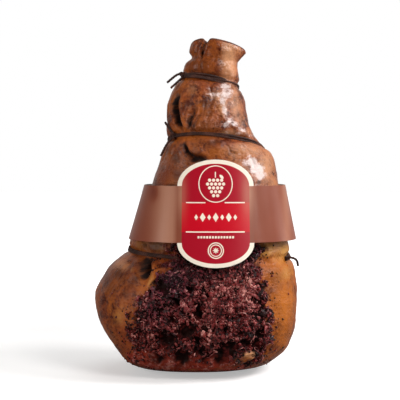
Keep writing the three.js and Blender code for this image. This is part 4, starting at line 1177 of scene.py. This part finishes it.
def sleeve_point(angle, z, out):
    x, y, half_x, half_y = sleeve_section(z)
    r = rim_distance(angle, half_x, half_y, SLEEVE["squareness"]) + out
    return np.stack([x + r * np.cos(angle), y + r * np.sin(angle), z + 0 * angle], axis=-1)


def sleeve_angle(x, z):
    """The angle at which the sleeve's front lies at x, at a height."""
    mid, _, half_x, half_y = sleeve_section(z)
    share = np.clip(np.abs((x - mid) / half_x), 0, 0.999)
    return np.arctan2(-half_y * (1 - share ** SLEEVE["squareness"]) ** (1 / SLEEVE["squareness"]), x - mid)


def box_distance(x, z, mid_x, mid_z, half_x, half_z):
    """How far inside a rectangle points lie: negative outside."""
    return np.minimum(half_x - np.abs(x - mid_x), half_z - np.abs(z - mid_z))


def oval_distance(x, z, mid_x, mid_z, half_x, half_z):
    u, v = (x - mid_x) / half_x, (z - mid_z) / half_z
    reach = np.maximum(np.hypot(u, v), 1e-6)
    return (1 - reach) * reach / np.maximum(np.hypot(u / half_x, v / half_z), 1e-9)


def print_distances(x, z):
    """What is printed on the label, as distances inside each field: the red panel, and the pale ornaments on it."""
    mid, half = SLEEVE["label_x"], SLEEVE["label_half"] - PRINT["border"]
    lobe = np.sqrt(np.maximum(0, 1 - ((x - mid) / half) ** 2))
    top = SLEEVE["high_z"] + (SLEEVE["lobe_up"] - PRINT["border"]) * lobe
    bottom = SLEEVE["low_z"] - (SLEEVE["lobe_down"] - PRINT["border"]) * lobe
    panel = np.minimum(np.minimum(top - z, z - bottom) * 0.9, half - np.abs(x - mid))

    marks = [0.5 - np.abs(oval_distance(x, z, mid, PRINT["emblem_z"], *PRINT["emblem"]))]
    for count, level in BERRIES:
        for k in range(count):
            along = (k - (count - 1) / 2) * BERRY["spacing"]
            marks.append(BERRY["radius"] - np.hypot(x - mid - along, z - level))
    marks.append(np.min([LEAF["radius"] - np.hypot(x - mid - a, z - level) for a, level in LEAF["lobes"]], axis=0))
    marks.append(box_distance(x, z, mid + STALK["x"], STALK["z"], STALK["half_x"], STALK["half_z"]))
    for left, right, level in RULES:
        marks.append(box_distance(x, z, mid + (left + right) / 2, level, abs(right - left) / 2, RULE_HALF_THICK))
    for k in range(-3, 4):
        tall, wide = (4.6, 2.9) if k % 2 == 0 else (3.0, 1.9)
        across, up = np.abs(x - mid - PRINT["lozenge_step"] * k) / wide, np.abs(z - PRINT["lozenge_z"]) / tall
        marks.append((1 - across - up) * 1.6)
    for k in range(-6, 7):
        across, up = np.abs(x - mid - PRINT["square_step"] * k), np.abs(z - PRINT["square_z"])
        marks.append(np.minimum(1.0 - across, 1.15 - up))
    around, turn = np.hypot(x - mid, z - PRINT["seal_z"]), np.arctan2(z - PRINT["seal_z"], x - mid)
    marks += [0.55 - np.abs(around - 7.6), 0.45 - np.abs(around - 5.6), 2.3 + 0.9 * np.cos(8 * turn) - around]
    return panel, np.max(marks, axis=0)


def bands(x, rows):
    """Soft upright bands, each (x, reach, strength)."""
    return sum(strength * bell((x - at) / reach) for at, reach, strength in rows)


def build_sleeve(values):
    """The sleeve's outer and inner wall with its edges, and what its print reads at each point."""
    label_columns, wing_columns, rows, coarse = (CARD_GRID[key] for key in ("label", "wing", "outside", "inside"))
    mid, half = SLEEVE["label_x"], SLEEVE["label_half"]
    seam = np.pi / 2
    lap = SLEEVE["lap"] / (SLEEVE["low"][3] - SLEEVE["low"][2])
    swing = np.linspace(-np.pi / 2, np.pi / 2, label_columns + 1)
    x = mid + half * np.sin(swing)
    lobe = np.maximum(0, np.cos(swing))
    share = np.arange(wing_columns) / wing_columns
    lows = np.concatenate([0 * share, lobe, 0 * share])

    def column_angles(z):
        """Angles of all the columns at their heights z."""
        first, last = sleeve_angle(mid - half, z[:wing_columns]), sleeve_angle(mid + half, z[-wing_columns:])
        start, end = seam - 2 * np.pi - lap, seam + lap
        left = start + (first - start) * share
        right = end + (last - end) * share[::-1]
        return np.concatenate([left, sleeve_angle(x, z[wing_columns:-wing_columns]), right])

    def wall(out, row_count):
        """Rows of points from the lower to the upper edge."""
        grid = []
        bottom = SLEEVE["low_z"] - SLEEVE["lobe_down"] * lows
        top = SLEEVE["high_z"] + SLEEVE["lobe_up"] * lows
        for k in range(row_count + 1):
            t = k / row_count
            z = bottom + (top - bottom) * t
            angle = column_angles(z)
            lapped = np.clip((angle - (seam - 3 * lap)) / (2 * lap), 0, 1) * (SLEEVE["card"] + GAP)
            bow = values.bow / MM * np.sin(math.pi * t) * np.sin(5 * angle + 1) * (1 - lows)
            grid.append(sleeve_point(angle, z, out + lapped + bow))
        return np.array(grid)

    outer, inner = wall(SLEEVE["card"], rows), wall(0.0, coarse)
    count = outer.shape[1]
    vertices = np.vstack([outer.reshape(-1, 3), inner.reshape(-1, 3)])
    faces = grid_faces(rows + 1, count, closed=False)
    start = (rows + 1) * count
    faces += [tuple(reversed(face)) for face in grid_faces(coarse + 1, count, closed=False, first=start)]
    top_out, top_in = rows * count, start + coarse * count
    for c in range(count - 1):
        faces.append((start + c, start + c + 1, c + 1, c))
        faces.append((top_out + c, top_out + c + 1, top_in + c + 1, top_in + c))
    stride = rows // coarse
    for k in range(coarse):
        for column, order in ((0, 1), (count - 1, -1)):
            side = [(k * stride + j) * count + column for j in range(stride + 1)]
            corner = [start + (k + 1) * count + column, start + k * count + column]
            faces.append(tuple((side + corner)[::-order]))
    sleeve = mesh_object("card_wrap", vertices, faces)

    column = np.tile(np.arange(count), rows + 1)
    on_label = (column >= wing_columns) & (column <= wing_columns + label_columns)
    x, y, z = outer.reshape(-1, 3).T
    panel, marks = print_distances(x, z)
    lobes = np.maximum(z - SLEEVE["high_z"], SLEEVE["low_z"] - z)
    on_wing = ~on_label
    # The rubbed attribute holds painted highlights: lighter bands that stand for the lamps' reflections on the wings'
    # fronts, the right edge and the label's red edges.
    rubbed = bands(x, WING_PAINTED_SHEEN) * (y < 0) * on_wing + bands(x, LABEL_PAINTED_SHEEN) * on_label * bell((z - 192) / 22)
    # Painted shade: a darker band on the left wing beside the label, carried by rubbed below zero.
    rubbed -= 0.9 * bell((x + 44) / 5) * bell((z - 193) / 9) * on_wing
    painted = {
        "panel": (np.where(on_label, panel, -5), -5), "marks": (np.where(on_label, marks, -5), -5),
        "lobe": (np.where(on_label, lobes, -5), -5), "label": (on_label, 0), "rubbed": (rubbed, 0),
        "inside": (0 * column, 1),
    }
    for name, (outside, behind) in painted.items():
        set_attribute(sleeve.data, name, np.concatenate([outside, np.full((coarse + 1) * count, float(behind))]))
    return sleeve


def card_material(values):
    """Printed card: brown wings with painted highlight bands and a painted shade band, and the label's cream border,
    red fields with painted highlight bands, and ornaments.
    """
    material, tree = new_material("card_printed")
    at = tree.object_coordinates()
    # rubbed is a painted highlight above zero and a painted shade below zero.
    rubbed = tree.attribute("rubbed")
    panel, marks, lobe = (tree.between(tree.attribute(name), -0.12, 0.12) for name in ("panel", "marks", "lobe"))
    cloudy = tree.between(tree.speckle(at, 30, 3), 0.3, 0.7, 0, 0.5)
    brown = tree.blend(cloudy, values.card_brown, values.card_worn)
    brown = tree.blend(tree.times(rubbed, 0.6), brown, values.card_painted_sheen)
    # Painted shade where rubbed is below zero.
    brown = tree.blend(tree.times(rubbed, -0.9), brown, values.card_shaded)
    height = tree.add("ShaderNodeSeparateXYZ", {0: at}).outputs["Z"]
    bright = tree.times(tree.between(height, 0.1532, 0.1536), tree.between(height, 0.183, 0.1826))
    red = tree.blend(bright, values.card_crimson, values.card_red)
    # Painted highlight on the label's red edges.
    red = tree.blend(tree.times(rubbed, 0.35), red, values.card_painted_sheen)
    color = tree.blend(panel, tree.blend(lobe, brown, values.card_cream), red)
    color = tree.blend(marks, color, values.card_cream)
    color = tree.blend(tree.attribute("inside"), color, linear(CARD_BACK_COLOR))
    tree.dress({
        "Base Color": color, "Roughness": tree.scaled(tree.attribute("label"), 0.06, 0.32),
        "Specular IOR Level": 0.15, "Normal": tree.bumped(tree.speckle(at, 0.9, 3), 0.06, 0.5),
    })
    return material


# Stage, lights and camera

def build_floor():
    """The pale floor: the camera sees it glow towards the backdrop, and to every other ray it is a dim grey."""
    half = FLOOR_HALF / MM
    corners = [(-half, -half, 0), (half, -half, 0), (half, half, 0), (-half, half, 0)]
    floor = mesh_object("floor", corners, [(0, 1, 2, 3)])
    material = bpy.data.materials.new("floor_pale")
    tree = cleared_tree(material)
    reach = tree.add("ShaderNodeVectorMath", {0: tree.object_coordinates()}, operation="LENGTH").outputs["Value"]
    glow = tree.add("ShaderNodeEmission", {"Strength": tree.between(reach, 0.35, 1.0, 0.4, 1.1)})
    pale = tree.add("ShaderNodeBsdfDiffuse", {"Color": (0.75, 0.75, 0.75, 1)})
    dim = tree.add("ShaderNodeBsdfDiffuse", {"Color": (0.26, 0.24, 0.23, 1)})
    by_camera = tree.add("ShaderNodeLightPath").outputs["Is Camera Ray"]
    glowing = tree.add("ShaderNodeAddShader", {0: pale, 1: glow})
    mixed = tree.add("ShaderNodeMixShader", {0: by_camera, 1: dim, 2: glowing})
    tree.add("ShaderNodeOutputMaterial", {"Surface": mixed})
    floor.data.materials.append(material)


def build_world(values):
    """A white world for the camera, with softer light in it from the backdrop."""
    world = bpy.data.worlds.new("soft_studio")
    bpy.context.scene.world = world
    sky = cleared_tree(world)
    seen = sky.add("ShaderNodeBackground", {"Color": (1, 1, 1, 1), "Strength": 1.0})
    way = sky.add("ShaderNodeSeparateXYZ", {0: sky.add("ShaderNodeTexCoord").outputs["Generated"]})
    behind = sky.between(way.outputs["Y"], -0.1, 0.9, values.ambient, values.backdrop)
    lighting = sky.add("ShaderNodeBackground", {"Color": (1, 0.98, 0.96, 1), "Strength": behind})
    is_camera = sky.add("ShaderNodeLightPath").outputs["Is Camera Ray"]
    shown = sky.add("ShaderNodeMixShader", {0: is_camera, 1: lighting, 2: seen})
    sky.add("ShaderNodeOutputWorld", {"Surface": shown})


def build_stage(values):
    """The floor, the world, the lamps and the camera."""
    build_floor()
    build_world(values)
    for name, power, at, width, tall, color in LAMPS:
        light = bpy.data.lights.new(name, "AREA")
        light.shape, light.size, light.size_y = "RECTANGLE", width, tall
        light.energy, light.color = getattr(values, power), color
        lamp = add_object(name, light)
        lamp.location = at
        lamp.rotation_euler = (LAMPS_AIM - Vector(at)).to_track_quat("-Z", "Y").to_euler()

    lens = bpy.data.cameras.new("camera")
    lens.lens, lens.sensor_width, lens.clip_start = CAMERA["lens"], CAMERA["sensor"], CAMERA["clip_start"]
    camera = add_object("camera", lens)
    rise = math.radians(CAMERA["elevation"])
    camera.location = Vector(CAMERA["aim"]) + CAMERA["distance"] * Vector((0, -math.cos(rise), math.sin(rise)))
    camera.rotation_euler = (math.pi / 2 - rise, 0, 0)
    scene = bpy.context.scene
    scene.camera = camera
    scene.view_settings.view_transform = "Standard"
    scene.view_settings.look = "None"


# What a user can change

def size_value(name, description, default):
    return bpy.props.FloatProperty(name=name, description=description, default=default, subtype="DISTANCE",
                                   unit="LENGTH", precision=4, min=0.0)


def color_value(name, description, hexadecimal):
    return bpy.props.FloatVectorProperty(name=name, description=description, default=linear(hexadecimal), size=4,
                                         subtype="COLOR", min=0.0, max=1.0)


def amount(name, description, default, **more):
    return bpy.props.FloatProperty(name=name, description=description, default=default, min=0.0, **more)


class HamValues(bpy.types.PropertyGroup):
    """The rind's relief and colours."""

    lumps: amount("Lumps", "How strong the rind's soft lumps are", 1.0)
    pleats: amount("Pleats", "How strong the fine pleats beside the ties are", 1.0)
    marc_relief: amount("Marc Relief", "How deep the crust's bed is broken up", 1.0)
    rind_deep: color_value("Deep Rind", "The rind's darker brown", "48190a")
    rind_mid: color_value("Middle Rind", "The rind's usual brown", "8a421c")
    rind_warm: color_value("Warm Rind", "The rind's orange brown", "ac5c24")
    rind_amber: color_value("Amber Rind", "Bare fat under thin rind", "b0621a")
    rind_stained: color_value("Stained Rind", "Wet rind stained by the marc, low on the ham", "883a1e")
    rind_gold: color_value("Golden Rind", "Yellowish fat under thin rind, by the belly tie", "bc8644")
    # Dark specks and smoked patches, and painted shade along the sleeve's edges, in creases, on the left side, along
    # the bottom and underneath.
    rind_dark_and_painted_shade: color_value("Dark Rind", "Smoked and greased patches", "341408")
    # Pale skin, and painted light on the side that faces the lamps and on the fat lump.
    rind_tan_and_painted_light: color_value("Tan Rind", "Pale tan skin on the cuff, the neck's right and the shoulder", "c98f66")
    # Painted highlights where the lamps reflect on the shoulder and the neck's ridge, with some pale grease.
    rind_grease_and_painted_highlight: color_value("Pale Grease", "Whitish grease on the shoulder and the neck's ridge", "dfcdc9")
    marc_dark: color_value("Dark Marc", "The crust in its gaps", "1e0506")
    marc_mid: color_value("Middle Marc", "The crust's usual colour", "883030")
    # Pale pink skins, and painted glints that stand for the lamps' glints on the wet marc.
    marc_pink: color_value("Pale Marc", "The crust's pinkish skins", "e29c92")
    marc_violet: color_value("Violet Marc", "Blackish violet skins", "561c34")
    # Wet red-brown skin, made lighter as painted light reflected up under the ham.
    marc_glaze: color_value("Glazed Marc", "The wet red-brown skin under the crust's lower edge", "9a3a24")
    marc_maroon: color_value("Maroon Marc", "Reddish skins low on the ham", "7c2620")


class MarcValues(bpy.types.PropertyGroup):
    """Sizes of the crust's pieces."""

    skin_size: size_value("Skin Radius", "Radius of a grape skin", 0.0019)
    skin_spacing: size_value("Skin Spacing", "Least distance between grape skins", 0.0019)
    crumb_size: size_value("Crumb Radius", "Radius of a crumb", 0.0011)
    seed: bpy.props.IntProperty(name="Seed", description="Changes how the marc is scattered", default=11)


class TwineValues(bpy.types.PropertyGroup):
    """The twine's make and colours."""

    radius: size_value("Twine Radius", "Radius of the twine", 0.0013)
    plies: bpy.props.IntProperty(name="Plies", description="Plies twisted into the twine", default=3, min=1)
    pitch: size_value("Pitch", "Length of one twist", 0.009)
    twine_dark: color_value("Dark Twine", "Greased fibres", "1c0c08")
    twine_light: color_value("Light Twine", "Fibres on the outside", "44241b")
    twine_worn: color_value("Worn Twine", "Paler rubbed stretches", "6b3e30")


class SleeveValues(bpy.types.PropertyGroup):
    """The sleeve's print."""

    bow: size_value("Bow", "How far the card bows in and out between its edges", 0.0001)
    card_brown: color_value("Brown", "The wings' brown", "804330")
    card_worn: color_value("Light Brown", "Cloudy patches in the brown", "8a4e3c")
    # Painted highlight: the colour of the lighter bands that stand for the lamps' reflections on the card.
    card_painted_sheen: color_value("Rubbed Card", "The card's lighter bands, where it was rubbed", "bd8a70")
    card_shaded: color_value("Shaded Card", "The card's darker corner, beside the label", "5c1f16")
    card_cream: color_value("Cream", "The label's border and ornaments", "efe4d4")
    card_crimson: color_value("Crimson", "The label's upper and lower fields", "a40e24")
    card_red: color_value("Red", "The label's middle field", "c20820")


class StageValues(bpy.types.PropertyGroup):
    """Powers of the studio's lights."""

    ambient: amount("Ambient", "Strength of the light from the front", 0.08)
    backdrop: amount("Backdrop", "Strength of the light from the white backdrop", 0.5)
    key: amount("Key", "Power of the large light at the front right", 12.0, unit="POWER")
    side: amount("Side", "Power of the light at the right", 14.0, unit="POWER")
    rim: amount("Rim", "Power of the light behind the right flank", 4.0, unit="POWER")
    left: amount("Left", "Power of the strip at the left", 9.0, unit="POWER")
    top: amount("Top", "Power of the light above", 4.0, unit="POWER")


# Operators and the panel

def made(name, maker, values):
    """A material by its name, made the first time that it is asked for."""
    return bpy.data.materials.get(name) or maker(values)


class HAM_OT_skin(bpy.types.Operator):
    """Build the ham in its rind, with its folds, pleats, ties' grooves and the bed of the crust"""

    bl_idname = "cured_ham.skin"
    bl_label = "Ham in Its Rind"

    def execute(self, context):
        values = context.scene.ham_values
        skin = build_skin(values)
        skin.data.materials.append(made("rind_cured", rind_material, values))
        place(skin, "ham", slot="rind")
        return {"FINISHED"}


class HAM_OT_marc(bpy.types.Operator):
    """Scatter grape skins, crumbs and strays over the crust's bed"""

    bl_idname = "cured_ham.marc"
    bl_label = "Grape Marc"

    def execute(self, context):
        material = made("grape_marc", marc_material, context.scene.ham_values)
        build_marc(bpy.data.objects["ham_skin"], context.scene.marc_values, material)
        return {"FINISHED"}


class HAM_OT_ties(bpy.types.Operator):
    """Tie the neck, the shoulder and the belly with twisted twine"""

    bl_idname = "cured_ham.ties"
    bl_label = "Twine Ties"

    def execute(self, context):
        values = context.scene.twine_values
        build_ties(values, made("twine_hemp", twine_material, values))
        return {"FINISHED"}


class HAM_OT_sleeve(bpy.types.Operator):
    """Wrap the printed card sleeve round the ham"""

    bl_idname = "cured_ham.sleeve"
    bl_label = "Card Sleeve"

    def execute(self, context):
        values = context.scene.sleeve_values
        sleeve = build_sleeve(values)
        sleeve.data.materials.append(made("card_printed", card_material, values))
        place(sleeve, "card_sleeve", slot="card")
        return {"FINISHED"}


class HAM_OT_stage(bpy.types.Operator):
    """Set up the pale floor, the soft studio lights and the camera"""

    bl_idname = "cured_ham.stage"
    bl_label = "Stage"

    def execute(self, context):
        build_stage(context.scene.stage_values)
        return {"FINISHED"}


OPERATORS = [HAM_OT_skin, HAM_OT_marc, HAM_OT_ties, HAM_OT_sleeve, HAM_OT_stage]
VALUES = {
    "ham_values": HamValues, "marc_values": MarcValues, "twine_values": TwineValues, "sleeve_values": SleeveValues,
    "stage_values": StageValues,
}


class HAM_PT_panel(bpy.types.Panel):
    """Lists the ham's pieces"""

    bl_idname = "HAM_PT_panel"
    bl_label = "Cured Ham"
    bl_space_type = "VIEW_3D"
    bl_region_type = "UI"
    bl_category = "Ham"

    def draw(self, context):
        for operator in OPERATORS:
            self.layout.operator(operator.bl_idname)
        for name, group in VALUES.items():
            box = self.layout.box()
            box.label(text=group.__doc__.rstrip("."))
            for key in group.__annotations__:
                box.prop(getattr(context.scene, name), key)


def register():
    for group in VALUES.values():
        bpy.utils.register_class(group)
    for kind in OPERATORS + [HAM_PT_panel]:
        bpy.utils.register_class(kind)
    for name, group in VALUES.items():
        setattr(bpy.types.Scene, name, bpy.props.PointerProperty(type=group))


def unregister():
    for name in VALUES:
        delattr(bpy.types.Scene, name)
    for kind in [HAM_PT_panel] + OPERATORS[::-1] + list(VALUES.values()):
        bpy.utils.unregister_class(kind)


def main():
    register()
    bpy.ops.cured_ham.skin()
    bpy.ops.cured_ham.marc()
    bpy.ops.cured_ham.ties()
    bpy.ops.cured_ham.sleeve()
    bpy.ops.cured_ham.stage()


if __name__ == "__main__":
    main()
